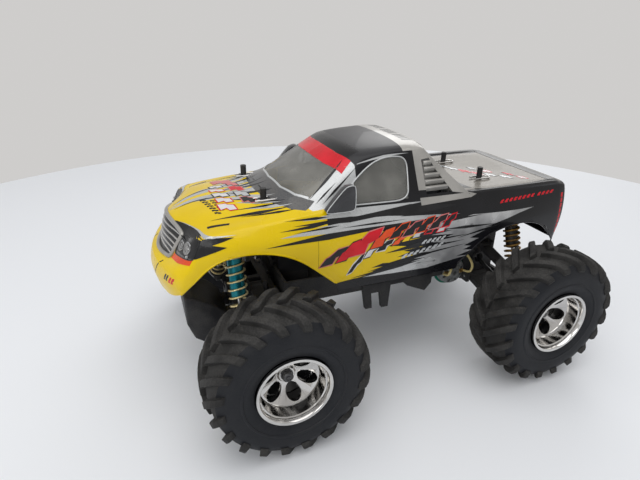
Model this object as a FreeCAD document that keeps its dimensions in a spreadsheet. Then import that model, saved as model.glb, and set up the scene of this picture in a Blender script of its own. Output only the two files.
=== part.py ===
"""Electric remote control monster truck, 1/10 scale, modelled in millimetres.

Frame: origin on the ground in the middle of the truck's box, +Z up, +Y towards the tail,
+X towards the left-hand wheels. Left-hand pieces are modelled and the right-hand ones mirrored.
"""
import FreeCAD, Part
import math
import os
import re
import Sketcher

SIZES = {
    # wheels and stance
    "wheelbase": 283.0, "front_axle_y": -130.0, "track": 260.0,
    "tyre_diameter": 146.8, "tyre_width": 61.0, "tyre_wall": 4.0, "tyre_shoulder": 9.0,
    "rim_diameter": 67.0, "rim_width": 58.0, "rim_wall": 2.4, "rim_dish": 26.0,
    "rim_face": 3.0, "rim_boss_radius": 8.0, "rim_hole_radius": 6.0, "rim_hole_pcd": 36.0,
    "spindle_radius": 3.0, "nut_radius": 4.6, "nut_height": 5.0,
    # suspension
    "hinge_x": 32.0, "arm_reach": 54.0, "arm_drop": 13.0, "upright_half": 19.0,
    "arm_thickness": 6.0, "arm_boss": 5.0, "arm_root_half": 17.5, "arm_tip_half": 8.0,
    "link_root_half": 6.0, "pin_radius": 1.5, "running_gap": 0.06, "side_gap": 0.5,
    "arm_clear": 0.9,
    "ear_thickness": 4.0, "carrier_spine": 3.5, "shelf_thickness": 3.2,
    "kingpin_offset": 6.0, "knuckle_radius": 7.0, "kingpin_radius": 2.0,
    "steer_arm": 19.0, "steer_ball": 2.2, "steer_ball_rise": 8.0,
    # shock absorbers
    "shock_offset": 22.0, "shock_top_x": 37.0, "shock_top_z": 165.0, "shock_seat": 36.0,
    "shock_seat_rise": 9.0, "shock_body_radius": 6.8, "shock_body_length": 58.0,
    "shock_rod_radius": 1.6, "shock_eye": 5.0, "shock_eye_width": 7.0, "shock_pin": 2.5,
    "spring_radius": 10.0, "spring_wire": 0.9, "spring_pitch": 7.0, "loose_gap": 1.0,
    # chassis
    "core_half_width": 25.0, "core_half_length": 22.0, "core_bottom": 60.0, "core_top": 120.0,
    "tub_half_width": 45.0, "tub_gap": 12.5,
    "tub_bottom": 84.0, "tub_height": 26.0, "tub_wall": 3.0, "bay_half_width": 25.0,
    "tower_thickness": 4.0, "tower_half_width": 45.0, "tower_foot": 20.0,
    # power train
    "motor_ahead": 41.5, "motor_z": 78.0, "motor_radius": 18.0, "motor_length": 37.0,
    "endbell_length": 12.0, "motor_shaft": 1.6, "pinion_radius": 5.0, "idler_radius": 9.0,
    "ring_radius": 29.0, "gear_width": 5.0, "housing_wall": 2.5,
    "diff_radius": 14.0, "cup_radius": 7.5, "cup_bore": 6.2, "cup_ball": 4.8,
    "joint_x": 20.0, "half_shaft_radius": 2.5, "half_shaft_pin": 1.2,
    # steering
    "rack_half": 3.0, "horn_length": 18.0, "servo_length": 40.0, "servo_width": 20.0,
    "servo_height": 38.0,
    # body shell
    "shell_wall": 1.4, "shell_half_width": 86.0, "belt_half_width": 75.0, "roof_half_width": 55.0,
    "rocker_z": 118.0, "belt_z": 193.0, "roof_z": 246.0, "nose_ahead": 96.4, "tail_behind": 63.0,
    "post_radius": 3.0, "front_post_top": 211.0, "front_post_x": 40.0, "front_post_behind": 9.5,
    "rear_post_top": 206.0, "rear_post_x": 34.4, "rear_post_ahead": 25.5, "clip_wire": 0.9,
}

# Lengths worked out from the sizes above, usable by name in any bound expression.
DERIVED = {
    "wheel_x": "track / 2",
    "axle_z": "tyre_diameter / 2",
    "rear_axle_y": "front_axle_y + wheelbase",
    "pin_x": "hinge_x + arm_reach",
    "low_pin_z": "axle_z - upright_half",
    "high_pin_z": "axle_z + upright_half",
    "low_hinge_z": "low_pin_z + arm_drop",
    "high_hinge_z": "high_pin_z + arm_drop",
    "arm_length": "sqrt(arm_reach ^ 2 + arm_drop ^ 2)",
    "kingpin_x": "pin_x + kingpin_offset",
    "shelf_z": "upright_half - arm_boss - arm_clear - shelf_thickness",
    "knuckle_half": "shelf_z - side_gap",
    "diff_z": "axle_z + arm_drop",
    "outer_joint_x": "joint_x + arm_reach",
    "rim_outer_x": "wheel_x + rim_width / 2",
    "rim_inner_x": "wheel_x - rim_width / 2",
    "dish_x": "rim_outer_x - rim_dish",
    "rack_z": "axle_z + steer_ball_rise + arm_drop",
    "tub_floor_top": "tub_bottom + tub_wall",
    "foot_top": "tub_bottom + 0.5",
    "spring_top": "6 + 2 * shock_eye",
    "cup_rise": "shock_eye + 3",
    "hub_start": "rim_inner_x + 3",
    "neck_half": "link_root_half + side_gap + ear_thickness",
    "neck_top": "high_hinge_z + arm_boss + 1",
    "tower_near": "shock_offset - spring_radius - 2 * side_gap - tower_thickness",
    "gear_case_width": "gear_width + 1 + 2 * housing_wall",
    "gear_plane_x": "-core_half_width + gear_case_width / 2",
    "motor_y": "rear_axle_y - motor_ahead",
    "gear_case_front": "motor_y - pinion_radius - 6",
    "tub_rear": "gear_case_front - tub_gap",
    "front_post_y": "front_axle_y + front_post_behind",
    "rear_post_y": "rear_axle_y - rear_post_ahead",
    "motor_start": "-core_half_width + gear_case_width",
    "rack_y": "front_axle_y + steer_arm",
    "tub_front": "rack_y + rack_half + 4.5",
    "horn_y": "tub_front - 2.5",
    "horn_pivot_z": "rack_z + horn_length",
    "bumper_y": "front_axle_y - 67",
    "front_seat_z": "belt_z + 3",
    "rear_seat_z": "belt_z - shell_wall - 0.4",
}

CORNER_AXLES = {"front": "front_axle_y", "rear": "rear_axle_y"}
SHOCK_SIDE = {"front": -1, "rear": 1}

doc = FreeCAD.newDocument("monster_truck")
sheet = doc.addObject("Spreadsheet::Sheet", "sizes")
for row, (alias, value) in enumerate(SIZES.items(), start=1):
    sheet.set("A%d" % row, alias)
    sheet.set("B%d" % row, str(value))
    sheet.setAlias("B%d" % row, alias)
doc.recompute()

PARTS = []
ZERO = ("0", "0", "0")
X_AXIS = FreeCAD.Vector(1, 0, 0)
Y_AXIS = FreeCAD.Vector(0, 1, 0)
Z_AXIS = FreeCAD.Vector(0, 0, 1)
AXIS_TURN = {
    "X": FreeCAD.Rotation(Y_AXIS, 90),
    "Y": FreeCAD.Rotation(X_AXIS, -90),
    "Z": FreeCAD.Rotation(Z_AXIS, 0),
}


def expand(text):
    """Write sheet cells and derived lengths out in full for the expression engine."""
    def swap(match):
        word = match.group(0)
        if word in SIZES:
            return "sizes." + word
        if word in DERIVED:
            return "(" + expand(DERIVED[word]) + ")"
        return word
    return re.sub(r"[a-z][a-z_0-9]*", swap, text)


def bind(thing, prop, text):
    thing.setExpression(prop, expand(text))


def place(thing, at, rotation=None, angle=None, about=Y_AXIS):
    """Bind a Placement: a position, and a fixed turn or a bound angle about one axis."""
    if angle is not None:
        rotation = FreeCAD.Rotation(about, 1)
    if rotation is not None:
        thing.Placement = FreeCAD.Placement(FreeCAD.Vector(), rotation)
    for axis, text in zip("xyz", at):
        bind(thing, "Placement.Base." + axis, text)
    if angle is not None:
        bind(thing, "Placement.Rotation.Angle", angle)
    return thing


def block(name, size, at):
    """Box from its low corner."""
    thing = doc.addObject("Part::Box", name)
    for prop, text in zip(("Length", "Width", "Height"), size):
        bind(thing, prop, text)
    return place(thing, at)


def centred(name, size, centre):
    """Box about its centre."""
    corner = ["(%s) - (%s) / 2" % (middle, side) for middle, side in zip(centre, size)]
    return block(name, size, corner)


def rod(name, radius, length, at, axis):
    """Cylinder that starts at a point and runs along +X, +Y or +Z."""
    thing = doc.addObject("Part::Cylinder", name)
    bind(thing, "Radius", radius)
    bind(thing, "Height", length)
    return place(thing, at, AXIS_TURN[axis])


def bar(name, radius, length, centre, axis):
    """Cylinder about its centre."""
    shift = ["(%s) - (%s) / 2" % (text, length) if axis == letter else text
             for letter, text in zip("XYZ", centre)]
    return rod(name, radius, length, shift, axis)


def ball(name, radius, centre):
    thing = doc.addObject("Part::Sphere", name)
    bind(thing, "Radius", radius)
    return place(thing, centre)


def fuse(name, shapes):
    thing = doc.addObject("Part::MultiFuse", name)
    thing.Shapes = shapes
    return thing


def cut(name, base, tools):
    thing = doc.addObject("Part::Cut", name)
    thing.Base = base
    thing.Tool = tools[0] if len(tools) == 1 else fuse(name + "_tools", tools)
    return thing


def group(name, shapes):
    """Several solids kept apart in one sub-part."""
    thing = doc.addObject("Part::Compound", name)
    thing.Links = shapes
    return thing


def outline(body, role, points):
    """Closed sketch of straight edges with every corner bound to the sheet."""
    sketch = body.newObject("Sketcher::SketchObject", body.Name + "_outline")
    plane = [item for item in body.Origin.OriginFeatures if item.Role == role][0]
    sketch.AttachmentSupport = [(plane, "")]
    sketch.MapMode = "FlatFace"
    count = len(points)
    start = [FreeCAD.Vector(50 * math.cos(2 * math.pi * step / count),
                            50 * math.sin(2 * math.pi * step / count), 0)
             for step in range(count)]
    for step in range(count):
        sketch.addGeometry(Part.LineSegment(start[step], start[(step + 1) % count]), False)
    for step in range(count):
        after = (step + 1) % count
        sketch.addConstraint(Sketcher.Constraint("Coincident", step, 2, after, 1))
    for step, point in enumerate(points):
        for kind, text, value in zip(("DistanceX", "DistanceY"), point, start[step]):
            index = sketch.addConstraint(Sketcher.Constraint(kind, -1, 1, step, 1, value or 0.01))
            bind(sketch, "Constraints[%d]" % index, text)
    return sketch


def slab(name, role, points, thickness):
    """Flat plate: an outline in an origin plane, padded along that plane's normal."""
    body = doc.addObject("PartDesign::Body", name)
    sketch = outline(body, role, points)
    pad = body.newObject("PartDesign::Pad", name + "_pad")
    pad.Profile = sketch
    bind(pad, "Length", thickness)
    sketch.Visibility = False
    return body


def turned(name, points):
    """Body of revolution about its own X axis from an outline in the XZ plane."""
    body = doc.addObject("PartDesign::Body", name)
    sketch = outline(body, "XZ_Plane", points)
    turn = body.newObject("PartDesign::Revolution", name + "_turn")
    turn.Profile = sketch
    turn.ReferenceAxis = (sketch, ["H_Axis"])
    turn.Angle = 360
    return body


def keep(thing, label):
    """Name a finished sub-part."""
    thing.Label = label
    PARTS.append(thing)
    return thing


def keep_pair(thing, label):
    """Name a left-hand sub-part and add its right-hand mirror image."""
    keep(thing, label + "_left")
    twin = doc.addObject("Part::Mirroring", label + "_twin")
    twin.Source = thing
    twin.Normal = X_AXIS
    keep(twin, label + "_right")


# ---------------------------------------------------------------- wheels

def tyre(end, axle):
    """Balloon tyre: an outer envelope over the lugs, open towards the rim."""
    half = "tyre_width / 2"
    bead = "rim_diameter / 2 - rim_wall"
    inside = "tyre_diameter / 2 - 2.2 * tyre_wall"
    crown = "tyre_diameter / 2"
    body = turned("tyre_" + end, [
        ("-(%s) + tyre_wall" % half, bead), ("-(%s)" % half, "rim_diameter / 2 + 6"),
        ("-(%s)" % half, "%s - 1.6 * tyre_shoulder" % crown),
        ("-(%s) + tyre_shoulder / 2" % half, "%s - tyre_shoulder / 3" % crown),
        ("-(%s) + 1.4 * tyre_shoulder" % half, crown),
        ("%s - 1.4 * tyre_shoulder" % half, crown),
        ("%s - tyre_shoulder / 2" % half, "%s - tyre_shoulder / 3" % crown),
        (half, "%s - 1.6 * tyre_shoulder" % crown), (half, "rim_diameter / 2 + 6"),
        ("%s - tyre_wall" % half, bead),
        ("%s - 2 * tyre_wall" % half, bead), ("%s - tyre_wall" % half, "rim_diameter / 2 + 6"),
        ("%s - tyre_wall" % half, "%s - 1.6 * tyre_shoulder" % crown),
        ("%s - 2.4 * tyre_wall" % half, inside), ("-(%s) + 2.4 * tyre_wall" % half, inside),
        ("-(%s) + tyre_wall" % half, "%s - 1.6 * tyre_shoulder" % crown),
        ("-(%s) + tyre_wall" % half, "rim_diameter / 2 + 6"),
        ("-(%s) + 2 * tyre_wall" % half, bead)])
    place(body, ("wheel_x", axle, "axle_z"))
    keep_pair(body, "tyre_" + end)


def rim(end, axle):
    """Deep-dish rim: barrel with lips, coned face with six holes, and a hub boss."""
    lip = "rim_diameter / 2"
    seat = "rim_diameter / 2 - rim_wall"
    bore = "rim_diameter / 2 - 2 * rim_wall"
    inner = "rim_inner_x - wheel_x"
    outer = "rim_outer_x - wheel_x"
    dish = "dish_x - wheel_x"
    blank = turned("rim_blank_" + end, [
        (inner, bore), (inner, lip), ("%s + 1.2" % inner, lip), ("%s + 1.2" % inner, seat),
        ("%s - 1.2" % outer, seat), ("%s - 1.2" % outer, lip), (outer, lip), (outer, bore),
        (dish, bore), ("%s - 4" % dish, "rim_boss_radius"), (dish, "rim_boss_radius"),
        (dish, "spindle_radius + running_gap"), ("hub_start - wheel_x",
                                                 "spindle_radius + running_gap"),
        ("hub_start - wheel_x", "rim_boss_radius"), ("%s - 4 - rim_face" % dish,
                                                     "rim_boss_radius"),
        ("%s - rim_face" % dish, bore)])
    place(blank, ("wheel_x", axle, "axle_z"))
    holes = []
    for step in range(6):
        angle = math.radians(60 * step + 30)
        holes.append(bar("rim_hole_%s_%d" % (end, step), "rim_hole_radius", "20",
                         ("dish_x - 2", "%s + rim_hole_pcd / 2 * %.6f" % (axle, math.cos(angle)),
                          "axle_z + rim_hole_pcd / 2 * %.6f" % math.sin(angle)), "X"))
    keep_pair(cut("rim_" + end, blank, holes), "rim_" + end)


# ---------------------------------------------------------------- suspension

def swing_arm(name, root_half, tip_half, axle, hinge_z, extras=(), window=False):
    """Arm between two hinge lines, drawn level and then dropped to its rest slope."""
    shoulder = "arm_length - arm_boss - 5"
    plate = slab(name + "_plate", "XY_Plane", [
        ("0", "-(%s)" % root_half), ("%s - 8" % shoulder, "-(%s) * 0.94" % root_half),
        (shoulder, "-(%s)" % tip_half), ("arm_length", "-(%s)" % tip_half),
        ("arm_length", tip_half), (shoulder, tip_half),
        ("%s - 8" % shoulder, "(%s) * 0.94" % root_half), ("0", root_half)], "arm_thickness")
    place(plate, ("0", "0", "-arm_thickness / 2"))
    bosses = [bar(name + "_root", "arm_boss", "2 * (%s)" % root_half, ZERO, "Y"),
              bar(name + "_tip", "arm_boss", "2 * (%s)" % tip_half, ("arm_length", "0", "0"), "Y")]
    holes = [bar(name + "_root_hole", "pin_radius + running_gap", "80", ZERO, "Y"),
             bar(name + "_tip_hole", "pin_radius + running_gap", "80",
                 ("arm_length", "0", "0"), "Y")]
    if window:
        holes.append(centred(name + "_window", ("arm_length / 3", root_half, "20"),
                             ("arm_length * 0.38", "0", "0")))
    solid = fuse(name + "_solid", [plate] + bosses + list(extras))
    arm = cut(name, solid, holes)
    place(arm, ("hinge_x", axle, hinge_z), angle="atan2(arm_drop; arm_reach)")
    return arm


def lower_arm(end, axle):
    """Wide A-arm with a lug and a pin for the foot of the shock."""
    side = SHOCK_SIDE[end]
    lug = centred("shock_lug_" + end, ("2 * shock_eye", "4", "shock_seat_rise + shock_pin"),
                  ("shock_seat", "%d * (shock_offset - shock_eye_width / 2 - side_gap - 2)" % side,
                   "(shock_seat_rise + shock_pin) / 2"))
    pin = bar("shock_foot_pin_" + end, "shock_pin - 0.5", "shock_eye_width + 2 * side_gap + 3",
              ("shock_seat", "%d * shock_offset" % side, "shock_seat_rise"), "Y")
    arm = swing_arm("lower_arm_solid_" + end, "arm_root_half", "arm_tip_half", axle,
                    "low_hinge_z", (lug, pin), window=True)
    keep_pair(arm, "lower_arm_" + end)


def upper_arm(end, axle):
    """Narrow upper arm, parallel to the lower one and of the same length."""
    arm = swing_arm("upper_arm_solid_" + end, "link_root_half", "arm_tip_half", axle,
                    "high_hinge_z")
    keep_pair(arm, "upper_arm_" + end)


def carrier_ears(name, axle):
    """Two cheeks beside the tips of both arms, and the hinge pins across them."""
    cheeks = []
    pins = []
    reach = "arm_tip_half + side_gap + ear_thickness / 2"
    for level, pin_z, inward in (("low", "low_pin_z", 1), ("high", "high_pin_z", -1)):
        height = "arm_boss + arm_clear + shelf_thickness + arm_boss"
        centre_z = "%s + %d * (arm_clear + shelf_thickness) / 2" % (pin_z, inward)
        for side in (-1, 1):
            tag = "%s_%s_%d" % (name, level, side)
            cheeks.append(centred(tag, ("2 * arm_boss + 2", "ear_thickness", height),
                                  ("pin_x + 1", "%s + %d * (%s)" % (axle, side, reach),
                                   centre_z)))
        pins.append(bar("%s_%s_pin" % (name, level), "pin_radius",
                        "2 * (arm_tip_half + side_gap + ear_thickness)",
                        ("pin_x", axle, pin_z), "Y"))
    return cheeks, pins


def pin_holes(name, axle):
    return [bar("%s_%s_hole" % (name, level), "pin_radius", "60", ("pin_x", axle, pin_z), "Y")
            for level, pin_z in (("low", "low_pin_z"), ("high", "high_pin_z"))]


def front_carrier(axle):
    """C-shaped hub carrier whose shelves hold the knuckle's king pins."""
    cheeks, pins = carrier_ears("front_cheek", axle)
    width = "2 * (arm_tip_half + side_gap + ear_thickness)"
    spine = centred("front_spine", ("carrier_spine", "2 * (arm_tip_half + 2)",
                                    "2 * (shelf_z + shelf_thickness)"),
                    ("pin_x - arm_boss + carrier_spine / 2", axle, "axle_z"))
    shelves = [block("front_shelf_%d" % side,
                     ("kingpin_offset + 2 * arm_boss", width, "shelf_thickness"),
                     ("pin_x - arm_boss", "%s - (%s) / 2" % (axle, width),
                      "axle_z + %d * (shelf_z + shelf_thickness / 2) - shelf_thickness / 2"
                      % side)) for side in (-1, 1)]
    bore = bar("front_kingpin_bore", "kingpin_radius + running_gap", "60",
               ("kingpin_x", axle, "axle_z"), "Z")
    solid = fuse("front_carrier_solid", cheeks + [spine] + shelves)
    shaped = cut("front_carrier_cut", solid, pin_holes("front_carrier", axle) + [bore])
    keep_pair(group("front_carrier", [shaped] + pins), "carrier_front")


def rear_carrier(axle):
    """Rear hub carrier with the bearing bore for the driven axle."""
    cheeks, pins = carrier_ears("rear_cheek", axle)
    width = "2 * (arm_tip_half + side_gap + ear_thickness)"
    hub = centred("rear_hub_block", ("2 * arm_boss + 2", width, "2 * (shelf_z + shelf_thickness)"),
                  ("pin_x + 1", axle, "axle_z"))
    bore = bar("rear_axle_bore", "4 + running_gap", "60", ("pin_x", axle, "axle_z"), "X")
    solid = fuse("rear_carrier_solid", cheeks + [hub])
    shaped = cut("rear_carrier_cut", solid, pin_holes("rear_carrier", axle) + [bore])
    keep_pair(group("rear_carrier", [shaped] + pins), "carrier_rear")


def knuckle(axle):
    """Steering knuckle with king pins, wheel spindle, nut, steering arm and its ball."""
    height = "2 * knuckle_half"
    barrel = bar("knuckle_barrel", "knuckle_radius", height, ("kingpin_x", axle, "axle_z"), "Z")
    king = bar("knuckle_king_pin", "kingpin_radius", "2 * (shelf_z + shelf_thickness)",
               ("kingpin_x", axle, "axle_z"), "Z")
    spindle = rod("knuckle_spindle", "spindle_radius", "dish_x + nut_height + 1 - kingpin_x",
                  ("kingpin_x", axle, "axle_z"), "X")
    arm = block("knuckle_arm", ("5", "steer_arm + 3", "5"),
                ("kingpin_x - 2.5", axle, "axle_z - 2.5"))
    stud = rod("knuckle_stud", "1.2", "steer_ball_rise",
               ("kingpin_x", axle + " + steer_arm", "axle_z"), "Z")
    tip = ball("knuckle_ball", "steer_ball",
               ("kingpin_x", axle + " + steer_arm", "axle_z + steer_ball_rise"))
    solid = fuse("knuckle_solid", [barrel, king, spindle, arm, stud, tip])
    keep_pair(group("knuckle", [solid, wheel_nut("front", axle)]), "knuckle_front")


def wheel_nut(end, axle):
    """Hexagon nut outside the rim face."""
    nut = doc.addObject("Part::Prism", "nut_blank_" + end)
    nut.Polygon = 6
    bind(nut, "Circumradius", "nut_radius")
    bind(nut, "Height", "nut_height")
    place(nut, ("dish_x + side_gap / 2", axle, "axle_z"), AXIS_TURN["X"])
    hole = rod("nut_hole_" + end, "spindle_radius", "40", ("dish_x - 10", axle, "axle_z"), "X")
    return cut("nut_" + end, nut, [hole])


def driven_axle(axle):
    """Rear stub axle: joint cup inside, journal, drive collar, and a threaded end with its nut."""
    cup_back = "pin_x - arm_boss - side_gap"
    cup = rod("axle_cup", "cup_radius", "%s - (outer_joint_x - 7)" % cup_back,
              ("outer_joint_x - 7", axle, "axle_z"), "X")
    bore = rod("axle_cup_bore", "cup_bore", "7 + cup_ball + side_gap",
               ("outer_joint_x - 7.01", axle, "axle_z"), "X")
    journal = rod("axle_journal", "4", "hub_start - 2 - (%s)" % cup_back,
                  (cup_back, axle, "axle_z"), "X")
    collar = rod("axle_collar", "rim_boss_radius", "hub_start - pin_x - arm_boss - 3 - side_gap",
                 ("pin_x + arm_boss + 2 + side_gap", axle, "axle_z"), "X")
    thread = rod("axle_thread", "spindle_radius", "dish_x + nut_height + 1 - pin_x",
                 ("pin_x", axle, "axle_z"), "X")
    solid = cut("axle_solid", fuse("axle_blank", [cup, journal, collar, thread]), [bore])
    keep_pair(group("axle", [solid, wheel_nut("rear", axle)]), "axle_rear")


def half_shaft(axle):
    """Dog-bone shaft, parallel to the arms: a rounded head with a cross pin at each end."""
    head = [("-cup_ball", "cup_ball / 3"), ("-0.75 * cup_ball", "0.66 * cup_ball"),
            ("-0.35 * cup_ball", "0.94 * cup_ball"), ("0.35 * cup_ball", "0.94 * cup_ball"),
            ("0.75 * cup_ball", "0.66 * cup_ball"), ("cup_ball", "half_shaft_radius")]
    far = [("arm_length - (%s)" % along, radius) for along, radius in reversed(head)]
    shaft = turned("half_shaft_bar", [("-cup_ball", "0")] + head + far
                   + [("arm_length + cup_ball", "0")])
    pins = [bar("half_shaft_pin_%d" % step, "half_shaft_pin", "2 * (cup_bore - side_gap)",
                ("%d * arm_length" % step, "0", "0"), "Y") for step in (0, 1)]
    solid = fuse("half_shaft", [shaft] + pins)
    place(solid, ("joint_x", axle, "diff_z"), angle="atan2(arm_drop; arm_reach)")
    keep_pair(solid, "half_shaft_rear")


# ---------------------------------------------------------------- shock absorbers

def shock_foot_offset():
    """Foot of the shock from its top, across and down, at the arm's rest slope."""
    length = "sqrt(arm_reach ^ 2 + arm_drop ^ 2)"
    across = ("hinge_x + (shock_seat * arm_reach + shock_seat_rise * arm_drop) / %s"
              " - shock_top_x" % length)
    down = ("shock_top_z - low_hinge_z + (shock_seat * arm_drop - shock_seat_rise * arm_reach)"
            " / %s" % length)
    return across, down


SHOCK_ACROSS, SHOCK_DOWN = shock_foot_offset()
DERIVED["shock_lean"] = "atan2(%s; %s)" % (SHOCK_ACROSS, SHOCK_DOWN)
DERIVED["shock_length"] = "sqrt((%s) ^ 2 + (%s) ^ 2)" % (SHOCK_ACROSS, SHOCK_DOWN)


def lean(thing, end, axle):
    """Stand a shock piece, drawn hanging down from its top eye, at its place and lean."""
    y_place = "%s + %d * shock_offset" % (axle, SHOCK_SIDE[end])
    return place(thing, ("shock_top_x", y_place, "shock_top_z"), angle="-(shock_lean)")


def eye(name, bore, depth):
    """Eye across Y at a depth below the top pivot."""
    centre = ("0", "0", "-(%s)" % depth)
    return (bar(name, "shock_eye", "shock_eye_width", centre, "Y"),
            bar(name + "_bore", bore, "30", centre, "Y"))


def shock_body(end, axle):
    """Oil-filled cylinder with its top cap, top eye, spring collar and bore for the rod."""
    ring, hole = eye("shock_top_eye_" + end, "shock_pin + running_gap", "0")
    cap = rod("shock_cap_" + end, "shock_body_radius", "8", ("0", "0", "-shock_eye - 8 + 1"), "Z")
    tube = rod("shock_tube_" + end, "shock_body_radius - 1", "shock_body_length - shock_eye - 6",
               ("0", "0", "-shock_body_length"), "Z")
    collar = rod("shock_collar_" + end, "spring_radius", "2.5",
                 ("0", "0", "-spring_top"), "Z")
    bore = rod("shock_rod_bore_" + end, "shock_rod_radius + running_gap",
               "shock_body_length - spring_top - 4", ("0", "0", "-shock_body_length - 0.1"), "Z")
    solid = fuse("shock_body_solid_" + end, [ring, cap, tube, collar])
    body = cut("shock_body_" + end, solid, [hole, bore])
    keep_pair(lean(body, end, axle), "shock_body_" + end)


def shock_rod(end, axle):
    """Piston rod with the spring cup and the loose lower eye."""
    ring, hole = eye("shock_low_eye_" + end, "shock_pin - 0.5 + loose_gap", "shock_length")
    stem = rod("shock_stem_" + end, "shock_rod_radius", "shock_length - shock_eye - spring_top - 14",
               ("0", "0", "-shock_length + shock_eye - 1"), "Z")
    cup = rod("shock_cup_" + end, "spring_radius", "2.5",
              ("0", "0", "-shock_length + cup_rise"), "Z")
    solid = fuse("shock_rod_solid_" + end, [ring, stem, cup])
    body = cut("shock_rod_" + end, solid, [hole])
    keep_pair(lean(body, end, axle), "shock_rod_" + end)


def shock_spring(end, axle):
    """Open coil spring between the collar and the cup."""
    height = "shock_length - cup_rise - spring_top - 2.9 - 2 * spring_wire"
    spine = doc.addObject("Part::Helix", "spring_spine_" + end)
    bind(spine, "Pitch", "spring_pitch")
    bind(spine, "Height", height)
    bind(spine, "Radius", "spring_radius - spring_wire")
    wire = doc.addObject("Part::Circle", "spring_wire_" + end)
    bind(wire, "Radius", "spring_wire")
    place(wire, ("spring_radius - spring_wire", "0", "0"), AXIS_TURN["Y"])
    coil = doc.addObject("Part::Sweep", "spring_coil_" + end)
    coil.Sections = [wire]
    coil.Spine = (spine, [])
    coil.Solid = True
    coil.Frenet = True
    place(coil, ("0", "0", "-(spring_top + 0.2 + spring_wire + %s)" % height))
    seated = group("spring_" + end, [coil])
    keep_pair(lean(seated, end, axle), "spring_" + end)


# ---------------------------------------------------------------- chassis

def hinge_ears(name, axle):
    """Ears that stand out of a core on both sides and carry the arms' inner pins."""
    ears = []
    for level, half, height in (("low", "arm_root_half", "low_hinge_z"),
                                ("high", "link_root_half", "high_hinge_z")):
        for across in (-1, 1):
            for along in (-1, 1):
                span = "hinge_x + arm_boss - core_half_width"
                centre = ("%d * (core_half_width + (%s) / 2)" % (across, span),
                          "%s + %d * (%s + side_gap + ear_thickness / 2)" % (axle, along, half),
                          height)
                ears.append(centred("%s_%s_%d_%d" % (name, level, across, along),
                                    (span, "ear_thickness", "2 * arm_boss + 2"), centre))
    return ears


def inner_pin_places(axle):
    """Centre and length of the two left-hand inner pins of one axle."""
    return [(("hinge_x", axle, "low_hinge_z"), "2 * (arm_root_half + side_gap + ear_thickness)"),
            (("hinge_x", axle, "high_hinge_z"), "2 * (link_root_half + side_gap + ear_thickness)")]


def sided(centre, sign):
    return ("%d * %s" % (sign, centre[0]),) + tuple(centre[1:])


def inner_pins(name, radius, axles):
    """Hinge pins, or the holes for them, on both sides of the given axles."""
    pins = []
    for number, axle in enumerate(axles):
        for level, (centre, length) in enumerate(inner_pin_places(axle)):
            for sign in (-1, 1):
                tag = "%s_%d_%d_%d" % (name, number, level, sign)
                pins.append(bar(tag, radius, length, sided(centre, sign), "Y"))
    return pins


def hinge_pins():
    axles = [CORNER_AXLES["front"], CORNER_AXLES["rear"]]
    keep(group("hinge_pin_set", inner_pins("hinge_pin", "pin_radius", axles)), "hinge_pins")


def front_bulkhead(axle):
    """Block that carries both front arms; narrower above to let the steering bar pass."""
    foot = centred("bulkhead_foot",
                   ("2 * core_half_width", "2 * core_half_length", "foot_top - core_bottom"),
                   ("0", axle, "(foot_top + core_bottom) / 2"))
    neck = centred("bulkhead_neck",
                   ("2 * core_half_width", "2 * neck_half", "neck_top - foot_top"),
                   ("0", axle, "(neck_top + foot_top) / 2"))
    hollow = centred("bulkhead_hollow", ("2 * core_half_width - 12", "12", "60"),
                     ("0", axle, "high_hinge_z"))
    solid = fuse("bulkhead_solid", [foot, neck] + hinge_ears("bulkhead_ear", axle))
    holes = inner_pins("bulkhead_pin_hole", "pin_radius", [axle])
    keep(cut("bulkhead", solid, [hollow] + holes), "front_bulkhead")


def idler_place():
    """Idler axis above the line from the motor to the differential, y and z."""
    span = "sqrt((rear_axle_y - motor_y) ^ 2 + (diff_z - motor_z) ^ 2)"
    near = "(pinion_radius + idler_radius + 0.1)"
    far = "(ring_radius + idler_radius + 0.1)"
    along = "((%s ^ 2 - %s ^ 2 + (%s) ^ 2) / (2 * (%s)))" % (near, far, span, span)
    up = "sqrt(%s ^ 2 - %s ^ 2)" % (near, along)
    y_place = "motor_y + (%s * (rear_axle_y - motor_y) - %s * (diff_z - motor_z)) / (%s)"
    z_place = "motor_z + (%s * (diff_z - motor_z) + %s * (rear_axle_y - motor_y)) / (%s)"
    return y_place % (along, up, span), z_place % (along, up, span)


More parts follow.
